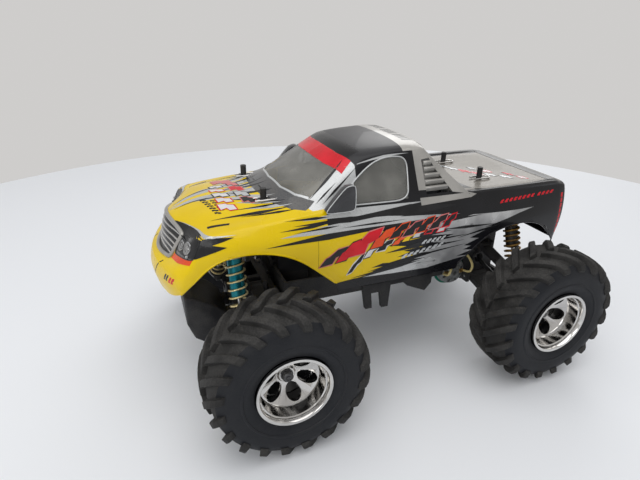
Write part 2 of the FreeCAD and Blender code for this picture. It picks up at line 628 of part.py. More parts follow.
def rear_gearbox(axle):
    """Gearbox: a case for the differential, a flat gear case beside it, ears and idler pin."""
    wall = "housing_wall"
    case = block("gearbox_case", ("2 * core_half_width", "2 * core_half_length",
                                  "core_top - core_bottom"),
                 ("-core_half_width", "%s - core_half_length" % axle, "core_bottom"))
    gear_back = "%s + ring_radius + 4" % axle
    gear_low = "diff_z - ring_radius - 4"
    flat = block("gearbox_flat", ("gear_case_width", "%s - gear_case_front" % gear_back,
                                  "core_top - (%s)" % gear_low),
                 ("-core_half_width", "gear_case_front", gear_low))
    room = block("gearbox_room", ("2 * core_half_width - 2 * %s - gear_case_width" % wall,
                                  "2 * (core_half_length - %s)" % wall,
                                  "core_top - core_bottom - 2 * %s" % wall),
                 ("motor_start + %s" % wall,
                  "%s - core_half_length + %s" % (axle, wall), "core_bottom + %s" % wall))
    gear_room = block("gearbox_gear_room",
                      ("gear_width + 1", "%s - gear_case_front - 2 * %s" % (gear_back, wall),
                       "core_top - (%s) - 2 * %s" % (gear_low, wall)),
                      ("-core_half_width + %s" % wall, "gear_case_front + %s" % wall,
                       "%s + %s" % (gear_low, wall)))
    output = bar("gearbox_output", "cup_radius + 0.5", "120", ("0", axle, "diff_z"), "X")
    nose = rod("gearbox_motor_hole", "pinion_radius + 1", "12",
               ("-core_half_width + 3", "motor_y", "motor_z"), "X")
    holes = inner_pins("gearbox_pin_hole", "pin_radius", [axle])
    solid = fuse("gearbox_solid", [case, flat] + hinge_ears("gearbox_ear", axle))
    hollowed = cut("gearbox_hollowed", solid, [room, gear_room, output, nose] + holes)
    idler_y, idler_z = idler_place()
    pin = rod("gearbox_idler_pin", "2", "gear_case_width",
              ("-core_half_width", idler_y, idler_z), "X")
    keep(fuse("gearbox", [hollowed, pin]), "rear_gearbox")


def shock_tower(end, axle, foot_z):
    """Upright plate behind the shocks, with a pin for each shock's top eye."""
    side = SHOCK_SIDE[end]
    plate = slab("tower_plate_" + end, "XZ_Plane", [
        ("-tower_foot", foot_z), ("tower_foot", foot_z),
        ("tower_foot + 2", "%s + 22" % foot_z), ("tower_half_width", "shock_top_z - 24"),
        ("tower_half_width", "shock_top_z + 5"), ("shock_top_x - 6", "shock_top_z + 7"),
        ("tower_foot - 2", "shock_top_z - 10"), ("-(tower_foot - 2)", "shock_top_z - 10"),
        ("-(shock_top_x - 6)", "shock_top_z + 7"), ("-tower_half_width", "shock_top_z + 5"),
        ("-tower_half_width", "shock_top_z - 24"), ("-(tower_foot + 2)", "%s + 22" % foot_z)],
        "tower_thickness")
    inner = "%s + %d * tower_near" % (axle, side)
    shift = inner if side < 0 else "%s + tower_thickness" % inner
    place(plate, ("0", shift, "0"))
    pieces = [plate]
    for sign in (-1, 1):
        for kind, radius, reach in (("pin", "shock_pin", "shock_eye_width / 2 + side_gap + 3"),
                                    ("boss", "shock_pin + 1.2", "-shock_eye_width / 2 - side_gap")):
            length = "shock_offset + %s - tower_near - tower_thickness / 2" % reach
            middle = "%s + %d * (tower_near + tower_thickness / 2 + (%s) / 2)" % (
                axle, side, length)
            pieces.append(bar("tower_%s_%s_%d" % (kind, end, sign), radius, length,
                              ("%d * shock_top_x" % sign, middle, "shock_top_z"), "Y"))
    keep(fuse("tower_" + end, pieces), "shock_tower_" + end)


def tub_side_bracket(name, sign):
    """Forked skid bracket and a slanted step under one side of the tub."""
    x_low = "tub_half_width - tub_wall" if sign > 0 else "-tub_half_width - 2"
    fork = slab(name + "_fork", "YZ_Plane", [
        ("-16", "tub_bottom + 6"), ("19", "tub_bottom + 6"), ("17", "tub_bottom - 26"),
        ("9", "tub_bottom - 26"), ("6", "tub_bottom - 5"), ("-5", "tub_bottom - 5"),
        ("-3", "tub_bottom - 24"), ("-11", "tub_bottom - 24")], "5")
    step = slab(name + "_step", "YZ_Plane", [
        ("30", "tub_bottom + 6"), ("72", "tub_bottom + 6"), ("72", "tub_bottom - 6"),
        ("64", "tub_bottom - 15"), ("40", "tub_bottom - 4")], "5")
    return [place(fork, (x_low, "0", "0")), place(step, (x_low, "0", "0"))]


def chassis_tub():
    """Open tub with the battery bay, a servo seat in front and skid brackets at the sides."""
    length = "tub_rear - tub_front"
    outer = block("tub_outer", ("2 * tub_half_width", length, "tub_height"),
                  ("-tub_half_width", "tub_front", "tub_bottom"))
    inner = block("tub_inner", ("2 * (tub_half_width - tub_wall)",
                                length + " - 2 * tub_wall", "tub_height"),
                  ("-tub_half_width + tub_wall", "tub_front + tub_wall", "tub_floor_top"))
    rails = [block("tub_rail_%d" % sign, ("tub_wall", length + " - 46", "tub_height * 0.7"),
                   ("%d * (bay_half_width + tub_wall / 2) - tub_wall / 2" % sign,
                    "tub_front + 44", "tub_bottom")) for sign in (-1, 1)]
    seat = block("tub_servo_seat", ("servo_length", "servo_height - 4",
                                    "horn_pivot_z - servo_width / 2 - tub_bottom"),
                 ("-servo_length + servo_width / 2", "tub_front + 4", "tub_bottom"))
    tongue = block("tub_tongue", ("tower_foot * 2", "tub_front - (front_axle_y + neck_half)",
                                  "tub_floor_top - foot_top"),
                   ("-tower_foot", "front_axle_y + neck_half", "foot_top"))
    link = block("tub_motor_strut", ("gear_width", "gear_case_front - tub_rear + 1",
                                     "tub_height - 4"),
                 ("-core_half_width", "tub_rear - 1", "tub_bottom + 4"))
    brackets = tub_side_bracket("tub_left", 1) + tub_side_bracket("tub_right", -1)
    hollowed = cut("tub_hollowed", outer, [inner])
    keep(fuse("tub", [hollowed, seat, link, tongue] + rails + brackets), "chassis_tub")


def front_bumper(axle):
    """Skid plate under the nose on two arms from the bulkhead."""
    face = slab("bumper_face", "XZ_Plane", [
        ("-20", "46"), ("20", "46"), ("29", "56"), ("29", "92"), ("22", "102"),
        ("-22", "102"), ("-29", "92"), ("-29", "56")], "4")
    place(face, ("0", "bumper_y", "0"))
    arms = [block("bumper_arm_%d" % sign,
                  ("9", "%s - core_half_length - bumper_y" % axle, "12"),
                  ("%d * 14 - 4.5" % sign, "bumper_y", "core_bottom + 3")) for sign in (-1, 1)]
    keep(fuse("bumper", [face] + arms), "front_bumper")


def body_posts():
    """Four posts for the shell, each on an arm from its shock tower, with a seat collar."""
    posts = []
    rows = (("front", "front_axle_y", -1), ("rear", "rear_axle_y", 1))
    for end, axle, side in rows:
        x_place, y_place, seat, top = [end + word for word in ("_post_x", "_post_y", "_seat_z",
                                                               "_post_top")]
        face = "%s + %d * tower_near" % (axle, side)
        if side < 0:
            low, width = face, "(%s + post_radius) - (%s)" % (y_place, face)
        else:
            low, width = "%s - post_radius" % y_place, "(%s) - (%s - post_radius)" % (face, y_place)
        for sign in (-1, 1):
            tag = "post_%s_%d" % (end, sign)
            centre = "%d * %s" % (sign, x_place)
            arm = block(tag + "_arm", ("8", width, "6"),
                        ("%s - 4" % centre, low, "shock_top_z - 20"))
            stem = rod(tag + "_stem", "post_radius", "%s - shock_top_z + 18" % top,
                       (centre, y_place, "shock_top_z - 18"), "Z")
            collar = rod(tag + "_collar", "post_radius + 2.5", "3",
                         (centre, y_place, "%s - 3" % seat), "Z")
            posts.append(fuse(tag, [arm, stem, collar]))
    keep(group("body_post_set", posts), "body_posts")


# ---------------------------------------------------------------- power and control

def motor():
    """Electric motor across the chassis: can with a flux ring, and its end bell."""
    can = rod("motor_can_body", "motor_radius", "motor_length",
              ("motor_start", "motor_y", "motor_z"), "X")
    hollow = rod("motor_can_bore", "motor_shaft + 1", "motor_length + 2",
                 ("motor_start - 1", "motor_y", "motor_z"), "X")
    keep(cut("motor_can_cut", can, [hollow]), "motor_can")
    bell_x = "motor_start + motor_length"
    bell = rod("endbell_body", "motor_radius - 1", "endbell_length", (bell_x, "motor_y", "motor_z"),
               "X")
    boss = rod("endbell_boss", "motor_radius * 0.3", "endbell_length + 3",
               (bell_x, "motor_y", "motor_z"), "X")
    brushes = [centred("endbell_brush_%d" % sign, ("endbell_length", "9", "7"),
                       (bell_x + " + endbell_length / 2", "motor_y + %d * (motor_radius - 4)"
                        % sign, "motor_z")) for sign in (-1, 1)]
    bore = rod("endbell_bore", "motor_shaft + running_gap", "endbell_length + 1",
               (bell_x + " - 1", "motor_y", "motor_z"), "X")
    solid = fuse("endbell_solid", [bell, boss] + brushes)
    keep(cut("endbell", solid, [bore]), "motor_endbell")


def motor_pinion():
    """Armature shaft with the pinion on it."""
    shaft = rod("pinion_shaft", "motor_shaft", "motor_length + gear_width + 8",
                ("gear_plane_x - gear_width / 2", "motor_y", "motor_z"), "X")
    gear = bar("pinion_gear", "pinion_radius", "gear_width",
               ("gear_plane_x", "motor_y", "motor_z"), "X")
    keep(fuse("pinion", [shaft, gear]), "motor_pinion")


def idler_gear():
    """Idler between the pinion and the differential gear."""
    idler_y, idler_z = idler_place()
    gear = bar("idler_disc", "idler_radius", "gear_width - 1",
               ("gear_plane_x", idler_y, idler_z), "X")
    bore = bar("idler_bore", "2 + running_gap", "20", ("gear_plane_x", idler_y, idler_z), "X")
    keep(cut("idler", gear, [bore]), "idler_gear")


def differential(axle):
    """Differential case with its large gear and the two output cups."""
    case = bar("diff_case", "diff_radius", "2 * (joint_x - 8)", ("2", axle, "diff_z"), "X")
    gear = bar("diff_gear", "ring_radius", "gear_width - 1", ("gear_plane_x", axle, "diff_z"), "X")
    cups = bar("diff_cups", "cup_radius", "2 * (joint_x + 7)", ("0", axle, "diff_z"), "X")
    bores = [bar("diff_bore_%d" % sign, "cup_bore", "7 + cup_ball + side_gap",
                 ("%d * (joint_x + (7 - cup_ball - side_gap) / 2 + 0.005)" % sign, axle,
                  "diff_z"), "X") for sign in (-1, 1)]
    solid = fuse("diff_solid", [case, gear, cups])
    keep(cut("diff", solid, bores), "differential")


def servo_and_horn():
    """Steering servo on its seat, and the horn that swings the steering bar."""
    body = block("servo_body", ("servo_length", "servo_height - 4", "servo_width"),
                 ("-servo_length + servo_width / 2", "tub_front + 4",
                  "horn_pivot_z - servo_width / 2"))
    neck = rod("servo_neck", "2.2", "5.2", ("0", "tub_front - 1", "horn_pivot_z"), "Y")
    keep(fuse("servo_solid", [body, neck]), "steering_servo")
    arm = centred("horn_arm", ("3.6", "3", "horn_length"),
                  ("0", "horn_y", "horn_pivot_z - horn_length / 2"))
    hub = bar("horn_hub", "7", "3", ("0", "horn_y", "horn_pivot_z"), "Y")
    tip = bar("horn_tip", "3", "3", ("0", "horn_y", "rack_z"), "Y")
    keep(fuse("horn", [arm, hub, tip]), "servo_horn")


def steering_bar():
    """Bar across the chassis behind the bulkhead: a fork for the horn, and tie rod forks."""
    beam = centred("rack_beam", ("2 * (kingpin_x - arm_reach - 8)", "2 * rack_half",
                                 "2 * rack_half"), ("0", "rack_y", "rack_z"))
    pieces = [beam]
    for sign in (-1, 1):
        pivot = "%d * (kingpin_x - arm_reach)" % sign
        for along in (-1, 1):
            pieces.append(centred("rack_cheek_%d_%d" % (sign, along), ("16", "2", "2 * rack_half"),
                                  ("%s - %d * 4" % (pivot, sign),
                                   "rack_y + %d * (rack_half + 0.2)" % along, "rack_z")))
        pieces.append(bar("rack_pin_%d" % sign, "pin_radius", "2 * rack_half + 2",
                          (pivot, "rack_y", "rack_z"), "Y"))
        pieces.append(block("rack_prong_%d" % sign, ("3", "tub_front - rack_y - rack_half",
                                                     "8"),
                            ("%d * (3.7 + 1.5) - 1.5" % sign, "rack_y + rack_half - 1",
                             "rack_z - 4")))
    keep(fuse("rack", pieces), "steering_bar")


def tie_rod():
    """Tie rod with a flat inner eye and a loose cup over the knuckle's ball."""
    stem = rod("tie_stem", "1.5", "arm_length - 8", ("4", "0", "0"), "X")
    inner = bar("tie_inner_eye", "4", "3.6", ZERO, "Y")
    hole = bar("tie_inner_hole", "pin_radius + running_gap", "20", ZERO, "Y")
    solid = cut("tie_bar", fuse("tie_bar_solid", [stem, inner]), [hole])
    place(solid, ("kingpin_x - arm_reach", "rack_y", "rack_z"),
          angle="atan2(arm_drop; arm_reach)")
    centre = ("kingpin_x", "rack_y")
    cup = bar("tie_cup", "5.6", "7", centre + ("rack_z - arm_drop + 1",), "Z")
    room = bar("tie_cup_room", "4.6", "7", centre + ("rack_z - arm_drop - 0.6",), "Z")
    keep_pair(cut("tie_rod", fuse("tie_rod_solid", [solid, cup]), [room]), "tie_rod")


def electronics():
    """Speed controller and receiver in one box beside the battery bay."""
    depth = "tub_half_width - bay_half_width - 2 * tub_wall - 1"
    box = block("electronics_case", (depth, "46", "20"),
                ("bay_half_width + tub_wall + 0.5", "-30", "tub_floor_top"))
    cap = block("electronics_cap", (depth + " - 4", "30", "3"),
                ("bay_half_width + tub_wall + 2.5", "-22", "tub_floor_top + 20"))
    keep(fuse("electronics", [box, cap]), "speed_controller")


REAR_LEAD_ROUTE = [
    (35.15, 125.5, 78.0), (46.0, 127.0, 80.5), (50.0, 126.0, 92.5), (44.0, 120.0, 105.0),
    (36.0, 106.5, 113.0), (33.0, 88.0, 116.0), (33.0, 68.0, 112.5), (33.2, 48.0, 104.0),
    (33.0, 31.0, 98.5), (33.0, 16.1, 97.5)]
FRONT_LEAD_ROUTE = [
    (35.15, 97.5, 78.0), (45.5, 96.5, 81.0), (50.0, 96.0, 93.0), (45.5, 94.5, 106.0),
    (38.7, 86.0, 115.5), (37.6, 70.0, 115.0), (37.6, 53.0, 107.5), (37.4, 35.0, 100.0),
    (37.6, 16.1, 97.5)]
WIRE_RADIUS = 1.4


def rounded_path(points):
    """Straight runs joined by tangent arcs as large as the runs allow."""
    vectors = [FreeCAD.Vector(*point) for point in points]
    edges = []
    last = vectors[0]
    for before, corner, after in zip(vectors, vectors[1:], vectors[2:]):
        back = (before - corner).normalize()
        ahead = (after - corner).normalize()
        turn = math.pi - back.getAngle(ahead)
        room = 0.45 * min((before - corner).Length, (after - corner).Length)
        start = corner + back * room
        end = corner + ahead * room
        radius = room / math.tan(turn / 2)
        print("wire radius %.1f" % radius)
        towards = (back + ahead).normalize()
        middle = corner + towards * (radius / math.cos(turn / 2) - radius)
        edges.append(Part.LineSegment(last, start).toShape())
        edges.append(Part.Arc(start, middle, end).toShape())
        last = end
    edges.append(Part.LineSegment(last, vectors[-1]).toShape())
    return Part.Wire(edges)


def motor_wires():
    """Two leads from the end bell's brushes into the speed controller."""
    tubes = []
    for points in (REAR_LEAD_ROUTE, FRONT_LEAD_ROUTE):
        path = rounded_path(points)
        ring = Part.makeCircle(WIRE_RADIUS, FreeCAD.Vector(*points[0]),
                               FreeCAD.Vector(*points[1]) - FreeCAD.Vector(*points[0]))
        tube = path.makePipeShell([Part.Wire([ring])], True, True)
        ideal = math.pi * WIRE_RADIUS ** 2 * path.Length
        if abs(tube.Volume / ideal - 1) > 0.02:
            raise ValueError("motor wire volume is off")
        tubes.append(tube)
    thing = doc.addObject("Part::Feature", "motor_wire_pair")
    thing.Shape = Part.makeCompound(tubes)
    keep(thing, "motor_wires")


# ---------------------------------------------------------------- body shell

def prism(points, axis, half):
    """Solid of an outline, extruded both ways along X or Y, or up and down along Z."""
    if axis == "X":
        corners = [FreeCAD.Vector(-half, a, b) for a, b in points]
        run = FreeCAD.Vector(2 * half, 0, 0)
    elif axis == "Y":
        corners = [FreeCAD.Vector(a, -half, b) for a, b in points]
        run = FreeCAD.Vector(0, 2 * half, 0)
    else:
        corners = [FreeCAD.Vector(a, b, 0) for a, b in points]
        run = FreeCAD.Vector(0, 0, 2 * half)
    return Part.Face(Part.makePolygon(corners + corners[:1])).extrude(run)


def shrink(points, wall):
    """The same closed outline, moved inwards by a wall."""
    if wall == 0:
        return points
    corners = [FreeCAD.Vector(a, b, 0) for a, b in points]
    wire = Part.makePolygon(corners + corners[:1])
    inner = wire.makeOffset2D(-wall, 2)
    ordered = [vertex.Point for vertex in inner.OrderedVertexes]
    return [(point.x, point.y) for point in ordered]


def shell_hull(s, inset):
    """Outer hull of the shell, or the same hull one wall further in."""
    floor = s["rocker_z"] - 40
    belt, roof = s["belt_z"], s["roof_z"]
    side = [(s["nose_y"], s["rocker_z"] + 1), (s["nose_y"], s["rocker_z"] + 16),
            (s["nose_y"] + 13, belt - 54), (s["nose_y"] + 17, belt - 9),
            (s["nose_y"] + 54, belt + 5), (s["nose_y"] + 116, belt + 10),
            (s["tail_y"] - 60, belt + 10), (s["tail_y"] - 60, belt + 0.5),
            (s["tail_y"] - 4, belt), (s["tail_y"], belt - 6), (s["tail_y"], s["rocker_z"] + 12),
            (s["tail_y"] - 11, s["rocker_z"] + 5), (s["tail_y"] - 30, floor),
            (s["nose_y"] + 40, floor)]
    section = [(-s["shell_half_width"], floor), (s["shell_half_width"], floor),
               (s["shell_half_width"], s["rocker_z"] + 40), (s["belt_half_width"], belt - 2),
               (s["belt_half_width"] - 8, belt + 1), (40, belt + 5.5), (14, belt + 9),
               (-14, belt + 9), (-40, belt + 5.5), (-s["belt_half_width"] + 8, belt + 1),
               (-s["belt_half_width"], belt - 2), (-s["shell_half_width"], s["rocker_z"] + 40)]
    plan = [(-50, s["nose_y"]), (50, s["nose_y"]), (66, s["nose_y"] + 20),
            (s["shell_half_width"] + 1, s["nose_y"] + 52), (s["shell_half_width"] + 1, 150),
            (s["belt_half_width"] + 2, s["tail_y"]), (-s["belt_half_width"] - 2, s["tail_y"]),
            (-s["shell_half_width"] - 1, 150), (-s["shell_half_width"] - 1, s["nose_y"] + 52),
            (-66, s["nose_y"] + 20)]
    front_part = prism(shrink(side, inset), "X", 200)
    across = prism(shrink(section, inset), "Y", 400)
    around = prism(shrink(plan, inset), "Z", 200)
    lower = front_part.common(across).common(around)
    bed_room = Part.makeBox(200, 200, 60, FreeCAD.Vector(-100, 72, belt - inset))
    lower = lower.cut(bed_room)
    cab_side = [(s["nose_y"] + 118, belt - 30), (s["nose_y"] + 122, belt + 9),
                (-36, roof - 9), (34, roof), (46, roof - 8), (88, belt), (88, belt - 30)]
    cab_section = [(-s["belt_half_width"], belt - 30), (s["belt_half_width"], belt - 30),
                   (s["belt_half_width"] - 1, belt - 1), (s["roof_half_width"] + 3, roof - 8),
                   (s["roof_half_width"] - 5, roof + 1), (-s["roof_half_width"] + 5, roof + 1),
                   (-s["roof_half_width"] - 3, roof - 8), (-s["belt_half_width"] + 1, belt - 1)]
    cab = prism(shrink(cab_side, inset), "X", 200).common(
        prism(shrink(cab_section, inset), "Y", 400))
    return lower.fuse(cab)


def arch_cutters(s):
    """Outlines below the shell's lower edge: both wheel arches and the space between."""
    low = s["rocker_z"] - 60
    front, rear, rocker = s["front_axle_y"], s["rear_axle_y"], s["rocker_z"]
    edge = [(s["nose_y"] - 5, rocker + 1), (front - 83, rocker + 3), (front - 73, rocker + 27),
            (front - 56, rocker + 43), (front - 36, rocker + 50), (front - 2, rocker + 50),
            (front + 26, rocker + 40), (front + 50, rocker + 20), (front + 68, rocker + 3),
            (front + 72, rocker), (rear - 75, rocker), (rear - 65, rocker + 10),
            (rear - 47, rocker + 28), (rear - 19, rocker + 38), (rear + 13, rocker + 38),
            (rear + 39, rocker + 27), (rear + 55, rocker + 8), (s["tail_y"] + 5, rocker + 8)]
    return prism([(s["nose_y"] - 5, low)] + edge + [(s["tail_y"] + 5, low)], "X", 200)


def body_shell():
    """Thin shell: the hull less the same hull one wall in, cut by the arches and post holes."""
    s = {alias: sheet.get(alias) for alias in SIZES}
    s["rear_axle_y"] = s["front_axle_y"] + s["wheelbase"]
    s["nose_y"] = s["front_axle_y"] - s["nose_ahead"]
    s["tail_y"] = s["rear_axle_y"] + s["tail_behind"]
    skin = shell_hull(s, 0).cut(shell_hull(s, s["shell_wall"])).cut(arch_cutters(s))
    for x_place, y_place in ((s["front_post_x"], s["front_axle_y"] + s["front_post_behind"]),
                             (s["rear_post_x"], s["rear_axle_y"] - s["rear_post_ahead"])):
        for sign in (-1, 1):
            foot = FreeCAD.Vector(sign * x_place, y_place, 150)
            skin = skin.cut(Part.makeCylinder(s["post_radius"] + 0.6, 100, foot))
    largest = max(skin.Solids, key=lambda solid: solid.Volume)
    thing = doc.addObject("Part::Feature", "shell_skin")
    thing.Shape = largest.removeSplitter()
    keep(thing, "body_shell")


def body_clips():
    """Four sprung wire clips, each a hairpin round its post on top of the shell."""
    clips = []
    rows = (("front_post_x", "front_post_y", "belt_z + 7.4"),
            ("rear_post_x", "rear_post_y", "belt_z + 0.3 + clip_wire"))
    for number, (x_place, y_place, height) in enumerate(rows):
        for sign in (-1, 1):
            tag = "clip_%d_%d" % (number, sign)
            spread = "post_radius + clip_wire + 0.3"
            legs = [rod("%s_leg_%d" % (tag, side), "clip_wire", "18",
                        ("%d * %s + %d * (%s)" % (sign, x_place, side, spread),
                         y_place + " - 9", height), "Y") for side in (-1, 1)]
            bend = doc.addObject("Part::Torus", tag + "_bend")
            bind(bend, "Radius1", spread)
            bind(bend, "Radius2", "clip_wire")
            bend.Angle3 = 180
            place(bend, ("%d * %s" % (sign, x_place), y_place + " + 9", height))
            clips.append(fuse(tag, legs + [bend]))
    keep(group("body_clip_set", clips), "body_clips")


# ---------------------------------------------------------------- assembly

for end_name, axle_name in CORNER_AXLES.items():
    tyre(end_name, axle_name)
    rim(end_name, axle_name)
    lower_arm(end_name, axle_name)
    upper_arm(end_name, axle_name)
    shock_body(end_name, axle_name)
    shock_rod(end_name, axle_name)
    shock_spring(end_name, axle_name)

front_carrier("front_axle_y")
knuckle("front_axle_y")
rear_carrier("rear_axle_y")
driven_axle("rear_axle_y")
half_shaft("rear_axle_y")
hinge_pins()
front_bulkhead("front_axle_y")
rear_gearbox("rear_axle_y")
shock_tower("front", "front_axle_y", "neck_top")
shock_tower("rear", "rear_axle_y", "core_top")
chassis_tub()
front_bumper("front_axle_y")
body_posts()
motor()
motor_pinion()
idler_gear()
differential("rear_axle_y")
servo_and_horn()
steering_bar()
tie_rod()
electronics()
motor_wires()
body_shell()
body_clips()

doc.recompute()

for thing in doc.Objects:
    if "Invalid" in thing.State or "Error" in thing.State:
        raise ValueError("failed object: %s %s" % (thing.Name, thing.State))
for part in PARTS:
    if part.Shape.isNull() or not part.Shape.isValid():
        raise ValueError("bad shape: " + part.Label)

os.makedirs("parts", exist_ok=True)
for part in PARTS:
    part.Shape.exportStep("parts/%s.step" % part.Label)
print("%d sub-parts written" % len(PARTS))
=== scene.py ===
"""Finished look of the 1/10 monster truck: painted shell, tyres, chromed rims, dampers, fittings.

Lengths are given in millimetres and made metres by MM. Left is +X, the nose points to -Y.
"""
import math
from contextlib import contextmanager

import bmesh
import bpy
from mathutils import Matrix, Vector
from mathutils.bvhtree import BVHTree


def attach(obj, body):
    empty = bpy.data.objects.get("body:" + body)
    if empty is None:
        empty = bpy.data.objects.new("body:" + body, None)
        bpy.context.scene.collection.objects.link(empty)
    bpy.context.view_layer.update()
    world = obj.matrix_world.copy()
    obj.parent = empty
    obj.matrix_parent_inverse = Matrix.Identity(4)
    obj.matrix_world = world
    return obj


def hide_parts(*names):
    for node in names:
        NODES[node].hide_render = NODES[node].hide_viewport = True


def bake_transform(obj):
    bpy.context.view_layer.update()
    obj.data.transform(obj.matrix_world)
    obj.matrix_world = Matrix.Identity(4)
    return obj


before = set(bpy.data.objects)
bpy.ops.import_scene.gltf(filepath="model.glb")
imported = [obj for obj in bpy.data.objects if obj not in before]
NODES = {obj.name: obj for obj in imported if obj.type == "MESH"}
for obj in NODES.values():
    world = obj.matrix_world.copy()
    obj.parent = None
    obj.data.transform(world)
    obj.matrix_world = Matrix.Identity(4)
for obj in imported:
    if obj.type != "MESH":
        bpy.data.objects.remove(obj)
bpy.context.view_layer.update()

MM = 0.001
SIDES = {"left": 1, "right": -1}
AXLES = {"front": -130.0, "rear": 153.0}
WHEEL_X = 130.0
AXLE_Z = 73.4
SHELL_WALL = 1.2
FILM = 0.1
MOTOR_SPOT = (0, 111.5, 78)

CAMERA_SPOT = (0.4475, -0.2253, 0.3525)
CAMERA_AIM = (0.0003, -0.0479, 0.130)
CAMERA_LENS = 26.96
CAMERA_ROLL = 0.0142
ROOM_LIGHT = (0.90, 0.92, 0.95)
ROOM_POWER = 0.50
BACKDROP = (0.62, 0.61, 0.60)
FLOOR_COLOUR = (0.84, 0.85, 0.87)


# ---------------------------------------------------------------- camera, floor and light

def linked(name, data):
    """New object in the scene."""
    thing = bpy.data.objects.new(name, data)
    bpy.context.scene.collection.objects.link(thing)
    return thing


def pose_camera():
    data = bpy.data.cameras.new("camera")
    data.lens = CAMERA_LENS
    data.sensor_width = 36.0
    camera = linked("camera", data)
    spot = Vector(CAMERA_SPOT)
    back = (spot - Vector(CAMERA_AIM)).normalized()
    camera.matrix_world = (Matrix.Translation(spot)
                           @ back.to_track_quat("Z", "Y").to_matrix().to_4x4()
                           @ Matrix.Rotation(CAMERA_ROLL, 4, "Z"))
    bpy.context.scene.camera = camera


def softbox(name, spot, aim, size, power):
    data = bpy.data.lights.new(name, "AREA")
    data.shape = "RECTANGLE"
    data.size, data.size_y = size
    data.energy = power
    lamp = linked(name, data)
    lamp.location = spot
    lamp.rotation_euler = (Vector(aim) - Vector(spot)).to_track_quat("-Z", "Y").to_euler()


def build_stage():
    """Room light, a plain backdrop for camera, gloss and glass, a pale floor and soft lamps."""
    world = bpy.data.worlds.new("room")
    bpy.context.scene.world = world
    world.use_nodes = True
    tree = world.node_tree
    lit, seen = tree.nodes["Background"], add(tree, "ShaderNodeBackground")
    for shader, colour, power in ((lit, ROOM_LIGHT, ROOM_POWER), (seen, BACKDROP, 1.0)):
        shader.inputs[0].default_value = (*colour, 1)
        shader.inputs[1].default_value = power
    path = add(tree, "ShaderNodeLightPath").outputs
    share = calc(tree, "MAXIMUM", path["Is Camera Ray"], path["Is Glossy Ray"])
    share = calc(tree, "MAXIMUM", share, path["Is Transmission Ray"])
    mixed = add(tree, "ShaderNodeMixShader", share, lit.outputs[0], seen.outputs[0])
    feed(tree, tree.nodes["World Output"].inputs[0], mixed.outputs[0])

    bpy.ops.mesh.primitive_circle_add(vertices=96, radius=0.95, fill_type="NGON")
    floor = named("floor")
    made, tree, shader = principled("matt_table", gloss_level=0.5)
    shader["Base Color"].default_value = (*FLOOR_COLOUR, 1)
    shader["Roughness"].default_value = 0.55
    floor.data.materials.append(made)

    softbox("ceiling", (0.3, -0.2, 1.7), (0, 0, 0.1), (1.8, 1.8), 15)
    softbox("window", (1.3, -1.5, 1.0), (0, 0, 0.12), (1.3, 1.0), 12)
    softbox("rear_fill", (-1.3, 1.2, 1.1), (0, 0, 0.12), (1.2, 0.9), 7)


# ---------------------------------------------------------------- modelling tools

def shift(*spot):
    """Move by a distance in millimetres."""
    return Matrix.Translation(Vector(spot) * MM)


def spin(degrees, axis="X"):
    return Matrix.Rotation(math.radians(degrees), 4, axis)


def activate(thing):
    bpy.ops.object.select_all(action="DESELECT")
    thing.select_set(True)
    bpy.context.view_layer.objects.active = thing


@contextmanager
def editing(thing):
    """Edit mode with the whole mesh selected."""
    activate(thing)
    bpy.ops.object.mode_set(mode="EDIT")
    bpy.ops.mesh.select_all(action="SELECT")
    yield
    bpy.ops.object.mode_set(mode="OBJECT")


def named(name):
    """Name the primitive that was just added and make it ready to shape."""
    thing = bpy.context.object
    thing.name = name
    thing.data.name = name
    return thing


def settle(thing):
    """Put an object's place, turn and size into its mesh."""
    activate(thing)
    bpy.ops.object.transform_apply(location=True, rotation=True, scale=True)
    return thing


def finish_modifiers(thing):
    activate(thing)
    for modifier in list(thing.modifiers):
        bpy.ops.object.modifier_apply(modifier=modifier.name)
    return thing


def outward(thing, gap=0.00001):
    """Merge doubles, then turn every face outwards."""
    with editing(thing):
        bpy.ops.mesh.remove_doubles(threshold=gap)
        bpy.ops.mesh.normals_make_consistent(inside=False)
    return thing


def smooth(thing, angle=35):
    activate(thing)
    bpy.ops.object.shade_smooth_by_angle(angle=math.radians(angle))
    return thing


def rounded(thing, width, segments=2, angle=40):
    bevel = thing.modifiers.new("edges", "BEVEL")
    bevel.width = width * MM
    bevel.segments = segments
    bevel.limit_method = "ANGLE"
    bevel.angle_limit = math.radians(angle)
    return finish_modifiers(thing)


def box(name, size, centre, round_edges=0.6, turn=(0, 0, 0)):
    bpy.ops.mesh.primitive_cube_add(size=1, location=[c * MM for c in centre])
    thing = named(name)
    thing.scale = [s * MM for s in size]
    thing.rotation_euler = [math.radians(a) for a in turn]
    settle(thing)
    if round_edges:
        rounded(thing, round_edges)
    return smooth(thing)


TURN_TO = {"X": spin(90, "Y"), "Y": spin(-90), "Z": Matrix.Identity(4)}


def turned(name, profile, centre=(0, 0, 0), axis="X", steps=64, closed=False):
    """Lathe work: a ring drawn along its axis and widened or narrowed at each profile point.

    An open profile begins on a disc; a closed one runs back to its first point.
    """
    along, radius = profile[0]
    bpy.ops.mesh.primitive_circle_add(vertices=steps, radius=radius * MM,
                                      fill_type="NOTHING" if closed else "NGON",
                                      location=(0, 0, along * MM))
    thing = settle(named(name))
    with editing(thing):
        if closed:
            profile = profile + profile[:1]
        else:
            bpy.ops.mesh.select_mode(type="FACE")
            bpy.ops.mesh.select_mode(type="VERT")
        for (low, small), (high, large) in zip(profile, profile[1:]):
            bpy.ops.mesh.extrude_region_move(
                TRANSFORM_OT_translate={"value": (0, 0, (high - low) * MM)})
            share = large / small
            bpy.ops.transform.resize(value=(share, share, 1), center_override=(0, 0, high * MM))
    outward(thing)
    thing.data.transform(shift(*centre) @ TURN_TO[axis])
    return smooth(thing, 30)


